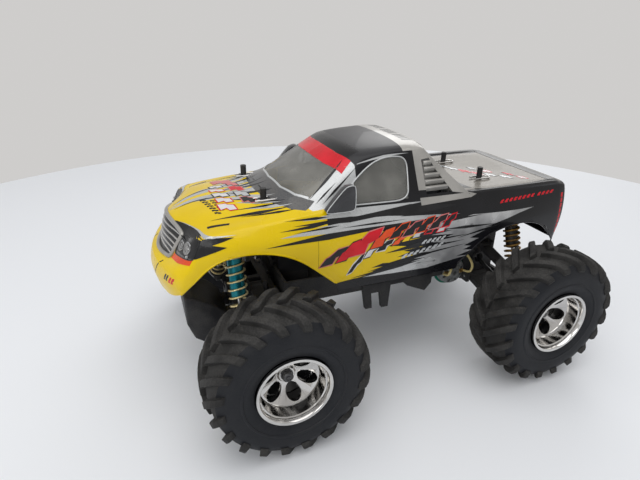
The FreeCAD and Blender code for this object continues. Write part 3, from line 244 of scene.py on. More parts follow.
def tube(name, points, radius, cyclic=False, rings=3):
    """Round wire along a smooth line through the given points."""
    data = bpy.data.curves.new(name, "CURVE")
    data.dimensions = "3D"
    data.bevel_depth = radius * MM
    data.bevel_resolution = rings
    data.use_fill_caps = True
    data.resolution_u = 6
    line = data.splines.new("NURBS")
    line.points.add(len(points) - 1)
    for spot, point in zip(line.points, points):
        spot.co = (*[c * MM for c in point], 1)
    line.order_u = 3
    line.use_endpoint_u = not cyclic
    line.use_cyclic_u = cyclic
    activate(linked(name, data))
    bpy.ops.object.convert(target="MESH")
    return smooth(bpy.context.object, 60)


def joined(name, things):
    activate(things[0])
    for thing in things[1:]:
        thing.select_set(True)
    if len(things) > 1:
        bpy.ops.object.join()
    return named(name)


def flip_over(thing):
    """Mirror a piece to the other side of the truck."""
    thing.data.transform(Matrix.Scale(-1, 4, (1, 0, 0)))
    thing.data.flip_normals()


def copied(thing, name, move=None, mirror=False):
    twin = linked(name, thing.data.copy())
    twin.data.name = name
    if mirror:
        flip_over(twin)
    if move is not None:
        twin.data.transform(move)
    return twin


def carve(thing, tool, operation="DIFFERENCE"):
    cutter = thing.modifiers.new("cutter", "BOOLEAN")
    cutter.operation = operation
    cutter.solver = "EXACT"
    cutter.object = tool
    return finish_modifiers(thing)


def discard(*things):
    for thing in things:
        bpy.data.objects.remove(thing)


def prism(name, outline, axis, low, high):
    """Solid between two planes across an axis, from an outline in the other two directions."""
    bpy.ops.mesh.primitive_circle_add(vertices=len(outline), radius=1, fill_type="NGON")
    thing = named(name)
    across = "XYZ".index(axis)
    for vertex, point in zip(thing.data.vertices, outline):
        vertex.co = Vector((*point[:across], low, *point[across:])) * MM
    step = [0, 0, 0]
    step[across] = (high - low) * MM
    with editing(thing):
        bpy.ops.mesh.extrude_region_move(TRANSFORM_OT_translate={"value": step})
    return outward(thing)


def both_halves(outline):
    """An outline that begins and ends on the middle line, closed by its mirror image."""
    return outline + [(-a, b) for a, b in outline[-2:0:-1]]


def painted(piece, finish):
    piece.data.materials.clear()
    piece.data.materials.append(finish)


def show(piece, body, finish=None, stands_for=()):
    """Give a piece its finish and the body that it moves with."""
    if finish is not None:
        painted(piece, finish)
    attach(piece, body)
    if stands_for:
        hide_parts(*stands_for)
    return piece


# ---------------------------------------------------------------- finishes

def add(tree, kind, *sources, **settings):
    """New node with its settings, its inputs fed in order."""
    made = tree.nodes.new(kind)
    for name, value in settings.items():
        setattr(made, name, value)
    for socket, source in zip(made.inputs, sources):
        feed(tree, socket, source)
    return made


def feed(tree, socket, source):
    """Set a socket to a plain value, or link it to another socket."""
    if isinstance(source, bpy.types.NodeSocket):
        tree.links.new(source, socket)
    elif source is not None:
        socket.default_value = source


def calc(tree, operation, *sources):
    return add(tree, "ShaderNodeMath", *sources, operation=operation).outputs[0]


def vector_calc(tree, operation, *sources):
    made = add(tree, "ShaderNodeVectorMath", *sources, operation=operation)
    return made.outputs["Value" if operation in ("DOT_PRODUCT", "LENGTH") else "Vector"]


def blend_colours(tree, share, first, second):
    made = add(tree, "ShaderNodeMix", data_type="RGBA")
    feed(tree, made.inputs["Factor"], share)
    feed(tree, made.inputs[6], first)
    feed(tree, made.inputs[7], second)
    return made.outputs[2]


def spread(tree, value, low, high, out_low=0.0, out_high=1.0):
    """Stretch a value from one range to another, held at its ends."""
    return add(tree, "ShaderNodeMapRange", value, low, high, out_low, out_high).outputs[0]


def drifting(tree, share, low, high, first, second):
    """Colour that goes from one tone to another over a range of a value."""
    return blend_colours(tree, spread(tree, share, low, high), (*first, 1), (*second, 1))


def object_spot(tree):
    return add(tree, "ShaderNodeTexCoord").outputs["Object"]


def noise(tree, spot, scale, detail=2):
    return add(tree, "ShaderNodeTexNoise", spot, None, scale, detail).outputs["Fac"]


def parted(tree, vector):
    """The X, Y and Z of a vector."""
    return add(tree, "ShaderNodeSeparateXYZ", vector).outputs


def bumped(tree, height, strength, distance):
    made = add(tree, "ShaderNodeBump")
    for label, source in (("Strength", strength), ("Distance", distance), ("Height", height)):
        feed(tree, made.inputs[label], source)
    return made.outputs[0]


def new_group(name, inputs, outputs):
    """Shader node group whose sockets are given as names under each kind."""
    tree = bpy.data.node_groups.new(name, "ShaderNodeTree")
    for way, sockets in (("INPUT", inputs), ("OUTPUT", outputs)):
        for kind, labels in sockets.items():
            for label in labels:
                tree.interface.new_socket(label, in_out=way, socket_type="NodeSocket" + kind)
    return tree, add(tree, "NodeGroupInput").outputs, add(tree, "NodeGroupOutput").inputs


def placed(tree, group, **values):
    made = add(tree, "ShaderNodeGroup", node_tree=group)
    for label, source in values.items():
        feed(tree, made.inputs[label.replace("_", " ")], source)
    return made.outputs


def build_surface_group():
    """Tone, gloss and grain that vary over a surface, with dust where it faces up."""
    tree, given, made = new_group("worn_surface", {
        "Color": ("Main", "Second", "Dust"),
        "Float": ("Dust Amount", "Patch Scale", "Grain Scale", "Grain Height", "Gloss Low",
                  "Gloss High")},
        {"Color": ("Color",), "Float": ("Roughness",), "Vector": ("Normal",)})
    spot = object_spot(tree)
    patches = noise(tree, spot, given["Patch Scale"], 5)
    grain = noise(tree, spot, given["Grain Scale"], 3)
    tone = spread(tree, patches, 0.35, 0.65)
    facing = parted(tree, add(tree, "ShaderNodeNewGeometry").outputs["Normal"])
    upward = spread(tree, facing["Z"], -0.3, 0.9, 0.25, 1.0)
    speck = spread(tree, calc(tree, "MULTIPLY", patches, grain), 0.18, 0.36)
    dust = calc(tree, "MULTIPLY", calc(tree, "MULTIPLY", speck, upward), given["Dust Amount"])
    clean = blend_colours(tree, tone, given["Main"], given["Second"])
    feed(tree, made["Color"], blend_colours(tree, dust, clean, given["Dust"]))
    gloss = spread(tree, tone, 0, 1, given["Gloss Low"], given["Gloss High"])
    feed(tree, made["Roughness"], calc(tree, "ADD", gloss, calc(tree, "MULTIPLY", dust, 0.3)))
    feed(tree, made["Normal"], bumped(tree, grain, given["Grain Height"], 0.0004))
    return tree


def build_splash_group():
    """A long tapered splash between two points, laid over the mask that comes in."""
    tree, given, made = new_group(
        "splash", {"Float": ("Under", "Half Width", "Fat", "Bow"),
                   "Vector": ("Point", "From", "To")}, {"Float": ("Mask",)})
    run = vector_calc(tree, "SUBTRACT", given["To"], given["From"])
    here = vector_calc(tree, "SUBTRACT", given["Point"], given["From"])
    length = vector_calc(tree, "LENGTH", run)
    share = calc(tree, "DIVIDE", vector_calc(tree, "DOT_PRODUCT", here, run),
                 calc(tree, "MULTIPLY", length, length))
    side = calc(tree, "DIVIDE", parted(tree, vector_calc(tree, "CROSS_PRODUCT", run, here))["Z"],
                length)
    rest = calc(tree, "SUBTRACT", 1.0, share)
    arch = calc(tree, "MULTIPLY", calc(tree, "MULTIPLY", share, rest),
                calc(tree, "MULTIPLY", given["Bow"], 4.0))
    off = calc(tree, "ABSOLUTE", calc(tree, "SUBTRACT", side, arch))
    rise = calc(tree, "DIVIDE", share, given["Fat"])
    fall = calc(tree, "DIVIDE", rest, calc(tree, "SUBTRACT", 1.0, given["Fat"]))
    width = calc(tree, "MULTIPLY", calc(tree, "MINIMUM", rise, fall), given["Half Width"])
    inside = spread(tree, calc(tree, "SUBTRACT", width, off), -0.15, 0.15)
    feed(tree, made["Mask"], calc(tree, "MAXIMUM", given["Under"], inside))
    return tree


SURFACE = build_surface_group()
SPLASH = build_splash_group()


def principled(name, metallic=0.0, coat=0.0, coat_roughness=0.05, gloss_level=0.22):
    """New material, its node tree and the inputs of its shader."""
    made = bpy.data.materials.new(name)
    made.use_nodes = True
    shader = made.node_tree.nodes["Principled BSDF"].inputs
    for label, value in (("Metallic", metallic), ("Coat Weight", coat),
                         ("Specular IOR Level", gloss_level), ("Coat Roughness", coat_roughness)):
        shader[label].default_value = value
    return made, made.node_tree, shader


def finish_of(name, main, second, gloss, metallic=0.0, coat=0.0, patch=60.0, grain=(900.0, 0.15),
              dust=0.0, dust_colour=(0.30, 0.27, 0.23)):
    """A finish with its own tones, gloss range, grain and dust."""
    made, tree, shader = principled(name, metallic, coat)
    out = placed(tree, SURFACE, Main=(*main, 1), Second=(*second, 1), Dust=(*dust_colour, 1),
                 Dust_Amount=dust, Patch_Scale=patch, Grain_Scale=grain[0],
                 Grain_Height=grain[1], Gloss_Low=gloss[0], Gloss_High=gloss[1])
    for label, socket in (("Color", "Base Color"), ("Roughness", "Roughness"),
                          ("Normal", "Normal")):
        feed(tree, shader[socket], out[label])
    return made


RUBBER = finish_of("tyre_rubber", (0.008, 0.009, 0.012), (0.014, 0.015, 0.018), (0.46, 0.62),
                   patch=45, grain=(700, 0.35), dust=0.10, dust_colour=(0.085, 0.080, 0.072))
TREAD_RUBBER = finish_of("worn_tread_rubber", (0.016, 0.0155, 0.015), (0.030, 0.029, 0.028),
                         (0.6, 0.8), patch=60, grain=(700, 0.5), dust=0.45,
                         dust_colour=(0.085, 0.081, 0.076))
CHROME = finish_of("chrome_plate", (0.68, 0.67, 0.65), (0.52, 0.51, 0.50), (0.05, 0.13),
                   metallic=1.0, patch=35, grain=(1200, 0.02), dust=0.12)
STEEL = finish_of("bright_steel", (0.58, 0.58, 0.57), (0.42, 0.42, 0.42), (0.2, 0.38),
                  metallic=1.0, patch=90)
BLACK_STEEL = finish_of("black_screw_steel", (0.06, 0.06, 0.065), (0.11, 0.11, 0.11),
                        (0.3, 0.45), metallic=0.9)
NYLON = finish_of("black_nylon", (0.016, 0.016, 0.017), (0.028, 0.028, 0.029), (0.36, 0.55),
                  patch=70, grain=(1100, 0.25), dust=0.30, dust_colour=(0.11, 0.10, 0.09))
TUB_PLASTIC = finish_of("tub_plastic", (0.020, 0.020, 0.022), (0.036, 0.036, 0.038),
                        (0.40, 0.60), patch=50, grain=(900, 0.35), dust=0.45,
                        dust_colour=(0.12, 0.11, 0.10))
TEAL = finish_of("teal_anodised", (0.004, 0.13, 0.17), (0.006, 0.18, 0.22), (0.22, 0.34),
                 metallic=0.75, patch=80, grain=(1500, 0.05), dust=0.1)
DARK_DAMPER = finish_of("dark_damper", (0.014, 0.014, 0.016), (0.03, 0.028, 0.027),
                        (0.25, 0.4), metallic=0.3, dust=0.2)
CREAM_SPRING = finish_of("cream_spring_wire", (0.80, 0.70, 0.40), (0.70, 0.56, 0.26),
                         (0.25, 0.42), metallic=0.5, coat=0.3, dust=0.15)
GOLD_SPRING = finish_of("gold_spring_wire", (0.40, 0.23, 0.05), (0.26, 0.14, 0.03),
                        (0.3, 0.5), metallic=0.7, dust=0.3)
BRASS = finish_of("brass", (0.72, 0.50, 0.20), (0.55, 0.34, 0.12), (0.2, 0.4), metallic=1.0)
CAST_ALLOY = finish_of("cast_alloy", (0.30, 0.31, 0.31), (0.19, 0.20, 0.20), (0.4, 0.6),
                       metallic=0.55, patch=120, grain=(600, 0.4), dust=0.3)
CAN_STEEL = finish_of("motor_can_steel", (0.33, 0.34, 0.35), (0.24, 0.25, 0.26), (0.25, 0.42),
                      metallic=0.95, patch=50)
GREEN_BAND = finish_of("green_band", (0.006, 0.17, 0.11), (0.010, 0.12, 0.08), (0.3, 0.45),
                       coat=0.2)
WIRE_SLEEVE = finish_of("cream_wire_sleeve", (0.72, 0.60, 0.27), (0.60, 0.48, 0.20),
                        (0.38, 0.5), patch=150, dust=0.2)
GEAR_NYLON = finish_of("gear_nylon", (0.06, 0.06, 0.06), (0.09, 0.09, 0.085), (0.35, 0.5))
SERVO_CASE = finish_of("servo_case", (0.022, 0.022, 0.026), (0.03, 0.03, 0.034), (0.3, 0.45))
SPEED_CASE = finish_of("speed_controller_case", (0.02, 0.05, 0.14), (0.02, 0.04, 0.1),
                       (0.25, 0.4))
PRINT_COAT = 0.12
PRINTED = {
    "black": ((0.010, 0.010, 0.011), (0.018, 0.018, 0.019), (0.14, 0.22)),
    "silver": ((0.60, 0.61, 0.61), (0.50, 0.51, 0.52), (0.22, 0.3), 0.35),
    "red": ((0.66, 0.010, 0.022), (0.54, 0.008, 0.016), (0.2, 0.28)),
    "orange": ((0.78, 0.10, 0.018), (0.68, 0.06, 0.016), (0.2, 0.3)),
    "white": ((0.72, 0.71, 0.69), (0.62, 0.60, 0.60), (0.22, 0.3)),
    "pink": ((0.62, 0.20, 0.19), (0.56, 0.14, 0.14), (0.25, 0.35)),
    "yellow": ((0.78, 0.52, 0.012), (0.72, 0.46, 0.01), (0.2, 0.28))}
COLOURS = {colour: finish_of(f"line_{colour}", *tones, coat=PRINT_COAT)
           for colour, tones in PRINTED.items()}
LINE_BLACK, LINE_RED = COLOURS["black"], COLOURS["red"]
# Painted shade: a darker yellow for the shade in the groove of the door seam.
SEAM_SHADE = finish_of("painted_seam_shade", (0.28, 0.19, 0.0), (0.2, 0.13, 0.0), (0.3, 0.4))
COWL_GREY = finish_of("cowl_grey", (0.075, 0.077, 0.08), (0.055, 0.056, 0.06), (0.25, 0.35),
                      coat=0.4, dust=0.2)
MIRROR_GREY = finish_of("mirror_grey", (0.012, 0.012, 0.014), (0.035, 0.035, 0.04), (0.12, 0.2),
                        coat=0.8, patch=40)


def splashes(tree, point, strokes, mask):
    """Lay tapered strokes over one another: each is from, to, half width and fat share."""
    for start, end, width, fat in strokes:
        mask = placed(tree, SPLASH, Under=mask, Point=point, From=(*start, 0), To=(*end, 0),
                      Half_Width=width, Fat=fat, Bow=0.0)["Mask"]
    return mask


# Strokes on the flanks in (y, z): from tip, to tip, half width, share of the length at its widest.
FLANK_YELLOW = [
    ((-125, 146), (16, 143), 24, 0.40), ((-120, 160), (8, 166), 14, 0.45),
    ((-90, 134), (-20, 126), 10, 0.45), ((-60, 128), (-6, 131), 4, 0.3),
    ((-30, 150), (30, 147), 5, 0.3), ((-130, 193), (-58, 196), 5, 0.3),
    ((-40, 160), (26, 157), 6, 0.3), ((-20, 136), (24, 139), 2.5, 0.3)]
FLANK_BLACK = [
    ((-132, 171.5), (40, 175), 2.8, 0.35), ((-104, 186), (-14, 184.5), 2.6, 0.6),
    ((-40, 187), (70, 185), 5.5, 0.5),
    ((-112, 191), (-70, 190), 1.2, 0.7), ((-118, 183), (-74, 184), 1.4, 0.7),
    ((-105, 180), (-60, 181), 1.0, 0.7), ((-48, 124), (30, 131), 2.2, 0.6),
    ((-30, 128), (30, 137), 2.0, 0.6), ((-12, 146), (48, 152), 3.0, 0.6),
    ((-72, 121), (0, 121), 2.2, 0.4)]
FLANK_SILVER = [
    ((-118, 178), (72, 176), 5.2, 0.38, 1.5), ((-84, 182), (20, 182), 2.4, 0.5),
    ((-72, 184), (-10, 186), 1.0, 0.4), ((30, 166), (168, 171), 7.0, 0.42, -2.0),
    ((38, 158), (150, 168), 6.0, 0.4, -2.0), ((40, 150), (112, 158), 6.5, 0.5, -2.5),
    ((30, 140), (98, 146), 7.0, 0.6), ((-42, 122), (88, 127), 5.0, 0.62),
    ((0, 128), (92, 133), 6.0, 0.7), ((22, 134), (90, 138), 5.0, 0.7),
    ((-96, 189.5), (34, 192.4), 3.6, 0.42), ((10, 171), (92, 166), 3.0, 0.4)]
FLANK_NIGHT = [
    ((20, 151), (84, 153), 1.4, 0.4), ((34, 145), (80, 147), 1.2, 0.4),
    ((52, 162), (118, 160), 1.6, 0.4), ((30, 170), (100, 172), 1.6, 0.4),
    ((-60, 178.5), (10, 178), 0.9, 0.5), ((14, 160), (64, 160), 2.4, 0.4),
    ((18, 136.5), (84, 142), 1.0, 0.4), ((70, 150), (130, 160), 1.2, 0.5)]

# Strokes on the hood in (x, y), drawn on both sides of the middle.
HOOD_SILVER = [
    ((1, -203), (14, -150), 6.0, 0.7), ((6, -176), (22, -116), 5.5, 0.5),
    ((20, -160), (34, -112), 5.0, 0.6), ((34, -146), (46, -108), 4.0, 0.6),
    ((0, -160), (2, -112), 6.0, 0.6), ((48, -140), (56, -100), 2.6, 0.6),
    ((12, -140), (14, -112), 5.0, 0.6)]
HOOD_BLACK = [
    ((52, -172), (60, -100), 2.0, 0.6), ((46, -150), (52, -104), 1.4, 0.6),
    ((26, -150), (40, -110), 2.4, 0.6), ((6, -198), (16, -150), 1.3, 0.6),
    ((12, -150), (24, -112), 2.2, 0.6), ((36, -140), (50, -102), 1.7, 0.7),
    ((0, -150), (6, -108), 2.0, 0.6), ((57, -146), (65, -98), 1.4, 0.7),
    ((18, -128), (26, -108), 2.4, 0.6)]
HOOD_PALE = [
    ((8, -166), (10, -120), 2.0, 0.5), ((28, -136), (36, -108), 1.8, 0.5),
    ((42, -132), (50, -106), 1.2, 0.5), ((52, -126), (58, -98), 1.0, 0.5)]


def build_paint():
    """Ground colours of the shell: yellow nose and sills that run in tongues into a black tail."""
    made, tree, shader = principled("painted_shell", coat=0.2, coat_roughness=0.04)
    spot = object_spot(tree)
    split = parted(tree, vector_calc(tree, "SCALE", spot, None, None, 1 / MM))
    along, up = split["Y"], split["Z"]
    flank_point = add(tree, "ShaderNodeCombineXYZ", along, up).outputs[0]
    cloud = noise(tree, spot, 28, 4)
    yellow = drifting(tree, cloud, 0.3, 0.7, (0.78, 0.55, 0.0), (0.70, 0.48, 0.0))
    black = drifting(tree, cloud, 0.3, 0.7, (0.004, 0.004, 0.005), (0.008, 0.008, 0.010))
    nose = spread(tree, along, -71.8, -72.2)
    share = splashes(tree, flank_point, FLANK_YELLOW, nose)
    feed(tree, shader["Base Color"], blend_colours(tree, share, black, yellow))
    feed(tree, shader["Roughness"], spread(tree, cloud, 0.3, 0.7, 0.22, 0.34))
    return made


def build_glass():
    """Thin tinted windows."""
    made, tree, shader = principled("tinted_window", coat=0.35)
    cloud = noise(tree, object_spot(tree), 16, 5)
    feed(tree, shader["Base Color"],
         drifting(tree, cloud, 0.35, 0.7, (0.10, 0.10, 0.092), (0.34, 0.33, 0.30)))
    feed(tree, shader["Alpha"], spread(tree, cloud, 0.3, 0.7, 0.44, 0.62))
    shader["Roughness"].default_value = 0.08
    return made


def build_bed_cover():
    """Brushed grey-beige cover with long fine lines."""
    made, tree, shader = principled("brushed_bed_cover", metallic=0.2, coat=0.12)
    stretch = add(tree, "ShaderNodeMapping", object_spot(tree))
    stretch.inputs["Scale"].default_value = (900, 22, 10)
    lines = noise(tree, stretch.outputs[0], 1.0, 4)
    feed(tree, shader["Base Color"],
         drifting(tree, lines, 0.3, 0.7, (0.17, 0.155, 0.135), (0.28, 0.26, 0.23)))
    feed(tree, shader["Roughness"], spread(tree, lines, 0.3, 0.7, 0.3, 0.42))
    feed(tree, shader["Normal"], bumped(tree, lines, 0.3, 0.0003))
    return made


def build_smoke():
    """Silver of the splashes, which fades to smoky grey towards the tail."""
    made, tree, shader = principled("splash_silver", metallic=0.4, coat=0.4,
                                    coat_roughness=0.04)
    spot = object_spot(tree)
    cloud = noise(tree, spot, 40)
    silver = drifting(tree, noise(tree, spot, 2600), 0.35, 0.65, (0.42, 0.43, 0.43),
                      (0.60, 0.61, 0.61))
    smoke = drifting(tree, cloud, 0.35, 0.65, (0.28, 0.28, 0.285), (0.52, 0.52, 0.52))
    tail = spread(tree, parted(tree, spot)["Y"], 0.0, 0.05)
    feed(tree, shader["Base Color"], blend_colours(tree, tail, silver, smoke))
    feed(tree, shader["Roughness"], spread(tree, cloud, 0.3, 0.7, 0.2, 0.3))
    return made


PAINT = build_paint()
SMOKE = build_smoke()
GLASS = build_glass()
BED_COVER = build_bed_cover()
ROOF_BLACK = finish_of("roof_black", (0.016, 0.016, 0.018), (0.026, 0.026, 0.029),
                       (0.34, 0.42), coat=0.12, patch=20)
HOOP_SILVER = finish_of("hoop_silver", (0.40, 0.385, 0.36), (0.30, 0.29, 0.27), (0.3, 0.4),
                        metallic=0.4, coat=0.4, patch=25, grain=(2400, 0.03))


# ---------------------------------------------------------------- body shell

STATIONS = [-172, -150, -128, -106, -84, -60, -34, -28, -8, 16, 27, 40, 62, 84, 100, 128, 160,
            190, 203, 208]

# Each feature line of the flank below the belt as (y, x, z) knots from nose to tail.
FLANK_LINES = [
    [(-172, 75.5, 186), (-128, 77, 190), (-84, 76.5, 194), (-34, 75.6, 193.6), (62, 75.6, 193),
     (128, 75, 192), (208, 73.6, 190.4)],
    [(-172, 79.5, 181), (-150, 81, 182.5), (-106, 80.5, 184), (-60, 78.8, 184), (62, 78.4, 183.5),
     (128, 78, 183), (208, 76, 181.5)],
    [(-172, 82, 174), (-150, 84.2, 176.5), (-128, 84.8, 176.5), (-84, 82.6, 174),
     (-34, 81.6, 172.5), (62, 82, 172), (128, 82.5, 172), (208, 78, 171)],
    [(-172, 82.4, 163), (-150, 85.8, 168.5), (-128, 85.9, 168.5), (-84, 84.6, 160),
     (-34, 83.4, 156), (62, 83.6, 156), (128, 84.4, 160), (160, 84.4, 160), (208, 79.4, 156)],
    [(-172, 79.4, 144), (-150, 84.8, 144), (-106, 85.4, 142), (-60, 82.4, 138), (-34, 82.2, 136),
     (62, 82.2, 136), (128, 84, 140), (160, 83.8, 142), (208, 79, 140)],
    [(-172, 75, 116), (-150, 83, 112), (-106, 83.6, 112), (-60, 79.6, 112), (62, 79.6, 112),
     (160, 82, 112), (208, 77.4, 114)]]

# Points of the top from the belt to the middle at each station, nose to tail.
TOP_ROWS = [
    [(68, -174, 187.3), (59.5, -175, 187.6), (48, -178, 191.0), (32, -181, 193.4), (16, -183, 195),
     (0, -184, 195.5)],
    [(69.5, -150, 190.2), (60.5, -151, 190), (50, -152, 194.6), (33, -153, 197.2),
     (16, -154, 198.8), (0, -154, 199.4)],
    [(70, -128, 192.2), (61.5, -128, 192.2), (52, -128, 196.4), (34, -128, 199.2),
     (17, -128, 200.8), (0, -128, 201.4)],
    [(71, -107, 193.8), (64, -110, 194.4), (54, -113, 198), (35, -117, 201), (17, -120, 202.6),
     (0, -121, 203.2)],
    [(73, -85, 195.2), (67, -88, 197.4), (54, -97, 200.6), (36, -104, 203.4), (18, -108.5, 205),
     (0, -110, 205.6)],
    [(73.8, -61, 195.8), (66.4, -61, 214.5), (55, -67, 218.2), (36, -73.5, 221),
     (18, -77.2, 222.4), (0, -78.5, 222.9)],
    [(73.8, -36, 195.8), (59.6, -35.5, 233.6), (50, -38, 237.2), (34, -40.6, 239.4),
     (17, -42.4, 240.6), (0, -43, 241)],
    [(73.8, -28, 195.8), (58.9, -29, 236), (50, -31.5, 239.6), (34, -34, 241.6), (17, -36, 242.7),
     (0, -36.8, 243.1)],
    [(73.8, -8, 195.8), (58, -8, 238.4), (50, -8, 242.2), (34, -8, 243.8), (17, -8, 244.5),
     (0, -8, 244.8)],
    [(73.8, 16, 195.8), (57.2, 16, 239.6), (50, 16.5, 243), (34, 17, 244.4), (17, 17, 245),
     (0, 17, 245.2)],
    [(74.4, 25, 195.6), (58, 21, 240), (50.6, 21.5, 243.6), (34, 22, 245), (17, 22, 245.5),
     (0, 22, 245.6)],
    [(74.8, 41, 195.4), (58.6, 36, 238.6), (51, 37, 242.4), (34, 38, 243.8), (17, 38, 244.4),
     (0, 38, 244.6)],
    [(75, 62, 195.2), (66.4, 60, 216.4), (57, 55, 219), (40, 50, 220), (20, 49, 221),
     (0, 49, 221)],
    [(75.2, 84, 193.6), (72.6, 84, 195.4), (65, 74, 194.4), (46, 64, 193), (22, 62, 192.8),
     (0, 62, 192.8)]]
RAIL_ROW = [(75.0, 193.2), (72.4, 195.0), (68.2, 194.6), (65.4, 192.6), (33, 192.6), (0, 192.6)]
TAIL_RISE = [(74.4, 192.2), (71.8, 194.4), (67.6, 194.4), (63.5, 193.0), (33, 193.0), (0, 193.0)]
TAIL_EDGE = [(73, 190), (70.8, 192.4), (67, 193.8), (60, 194.2), (33, 194.2), (0, 194.2)]

# The nose from the corner of the belt to the middle, in rows from the hood's edge to the sill.
NOSE_ROWS = [
    [(73.5, -184, 183), (65.5, -188.5, 182), (55, -191.5, 180), (40, -195.5, 177),
     (27, -200.5, 180.5), (14, -204.5, 183), (0, -206, 184)],
    [(75, -188, 174), (66, -194, 171.5), (54, -198.5, 169), (37, -202, 166.5), (25, -206.5, 168),
     (13, -209.6, 170), (0, -210.8, 171)],
    [(74.6, -192.5, 163), (65, -199, 159), (53, -203.5, 156.5), (34, -207, 153.4),
     (23, -210.4, 152.4), (12, -212.6, 152), (0, -213.4, 152)],
    [(73.4, -198, 154), (64.6, -206.5, 151), (52.5, -212.5, 149), (36, -217.6, 147),
     (24.5, -220.4, 147.6), (12.5, -222, 148), (0, -222.6, 148)],
    [(72, -203.5, 141), (63.6, -210.5, 138.5), (52, -215.8, 137), (36, -220.8, 135.4),
     (25, -223.6, 135.4), (12.5, -225.2, 136), (0, -225.7, 136)],
    [(69, -202, 125), (61, -208, 123.4), (50, -213, 122), (34, -217.4, 121), (23, -220, 121),
     (12, -221.4, 121.6), (0, -221.8, 122)]]

TAIL_TOP = [(73, 214.5, 188.5), (70.5, 215, 190.5), (66, 215, 191.6), (60, 215, 192),
            (46, 215, 192), (24, 215, 192), (0, 215, 192)]
# Height and place of the tail panel's rows, and their points as shares of its half width.
TAIL_SHARES = (1, 0.965, 0.90, 0.80, 0.60, 0.31, 0)
TAIL_ROWS = [(183, 216.0), (172, 216.0), (157, 215.6), (142, 214.4), (126, 211.5)]


def line_at(knots, y):
    """Point of a feature line at one station."""
    for (y0, x0, z0), (y1, x1, z1) in zip(knots, knots[1:]):
        if y <= y1:
            share = (y - y0) / (y1 - y0)
            return (x0 + share * (x1 - x0), y, z0 + share * (z1 - z0))
    return (knots[-1][1], y, knots[-1][2])


def net(name, rows):
    """Plane divided into a net whose points are then pulled to the given rows of points."""
    columns = len(rows[0])
    bpy.ops.mesh.primitive_grid_add(x_subdivisions=columns - 1, y_subdivisions=len(rows) - 1,
                                    size=1)
    thing = named(name)
    for index, vertex in enumerate(thing.data.vertices):
        vertex.co = Vector(rows[index // columns][index % columns]) * MM
    return thing


def shell_rows():
    """Top rows from nose to tail, and the skirt's rows from the belt line down."""
    belt = [line_at(FLANK_LINES[0], y) for y in STATIONS]
    tops = [list(row) for row in TOP_ROWS]
    ends = {STATIONS[-2]: TAIL_RISE, STATIONS[-1]: TAIL_EDGE}
    for y in STATIONS[len(TOP_ROWS):]:
        tops.append([(x, y, z) for x, z in ends.get(y, RAIL_ROW)])
    top = [NOSE_ROWS[0]] + [[first] + row for first, row in zip(belt, tops)]
    top.append(TAIL_TOP)
    skirt = []
    for level, (nose, line) in enumerate(zip(NOSE_ROWS, FLANK_LINES)):
        row = nose[::-1] + [line_at(line, y) for y in STATIONS]
        if level == 0:
            row += TAIL_TOP
        else:
            z, y = TAIL_ROWS[level - 1]
            out = line[-1][1] - 2
            row += [(out * share, y - 0.4 * (share == 1), z) for share in TAIL_SHARES]
        skirt.append(row)
    return top, skirt


def crease_corners(thing, soft, hard, most=0.8):
    """Keep folds that turn by more than a few degrees crisp when the net is subdivided."""
    mesh = bmesh.new()
    mesh.from_mesh(thing.data)
    layer = mesh.edges.layers.float.new("crease_edge")
    for edge in mesh.edges:
        if len(edge.link_faces) == 2:
            turn = math.degrees(edge.calc_face_angle(0.0))
            edge[layer] = most * min(max((turn - soft) / (hard - soft), 0.0), 1.0)
    mesh.to_mesh(thing.data)
    mesh.free()


def shell_finish(centre):
    """Finish of one face of the net."""
    x, y, z = abs(centre.x) / MM, centre.y / MM, centre.z / MM
    if y > 84 and x < 66 and z > 190:
        return BED_COVER
    if (16 if x < 58.3 else 26) < y < 84 and z > 195.5:
        return HOOP_SILVER
    if -84 < y < -34 and z > 199 and x > 54:
        return SMOKE
    if -34 < y < 16 and z > 232:
        return ROOF_BLACK
    return PAINT


def shell_skin():
    """Both halves of the shell's outer skin as one smooth closed-topped sheet."""
    top, skirt = shell_rows()
    half = joined("body_shell_skin", [net("shell_top", top), net("shell_skirt", skirt)])
    twin = copied(half, "shell_twin", mirror=True)
    whole = outward(joined("body_shell_skin", [half, twin]), 0.00005)
    upper = max(whole.data.polygons, key=lambda face: face.center.z)
    if upper.normal.z < 0:
        whole.data.flip_normals()
    finishes = (PAINT, ROOF_BLACK, HOOP_SILVER, BED_COVER, SMOKE)
    for finish in finishes:
        whole.data.materials.append(finish)
    for face in whole.data.polygons:
        face.material_index = finishes.index(shell_finish(face.center))
    crease_corners(whole, 14, 55)
    whole.modifiers.new("skin", "SUBSURF").levels = 2
    finish_modifiers(whole)
    return smooth(whole, 50)


FRONT_ARCH = [(-232, 100), (-215, 121), (-205, 130), (-195, 142), (-180, 159), (-162, 168),
              (-132, 168), (-104, 158), (-80, 138), (-62, 121), (-56, 100)]
REAR_ARCH = [(74, 100), (78, 118), (88, 128), (106, 146), (134, 156), (166, 156), (192, 145),
             (208, 126), (212, 100)]
SIDE_WINDOW = [(-62, 198), (13.5, 196.5), (14.5, 232.5), (0, 234.5), (-14, 233), (-28, 226.5),
               (-46, 212.5)]
SCREEN = both_halves([(0, -104), (30, -101), (50, -93), (62, -83.5), (57, -62), (50, -42.5),
                      (34, -45.5), (17, -47.4), (0, -48)])
LOUVRE_HOLE = [(31.5, 230), (40, 231), (46, 221), (64, 198), (34.5, 198)]
POST_SPOTS = [(40, -120.5), (34.4, 127.5)]
POST_HOLE = 3.6


def walled(thing, thickness):
    """Give a skin a wall that grows inwards."""
    wall = thing.modifiers.new("wall", "SOLIDIFY")
    wall.thickness = thickness * MM
    wall.offset = -1
    return finish_modifiers(thing)


def side_prisms(name, outline, low, high):
    near = prism(name, outline, "X", low, high)
    return [near, copied(near, name + "_twin", mirror=True)]


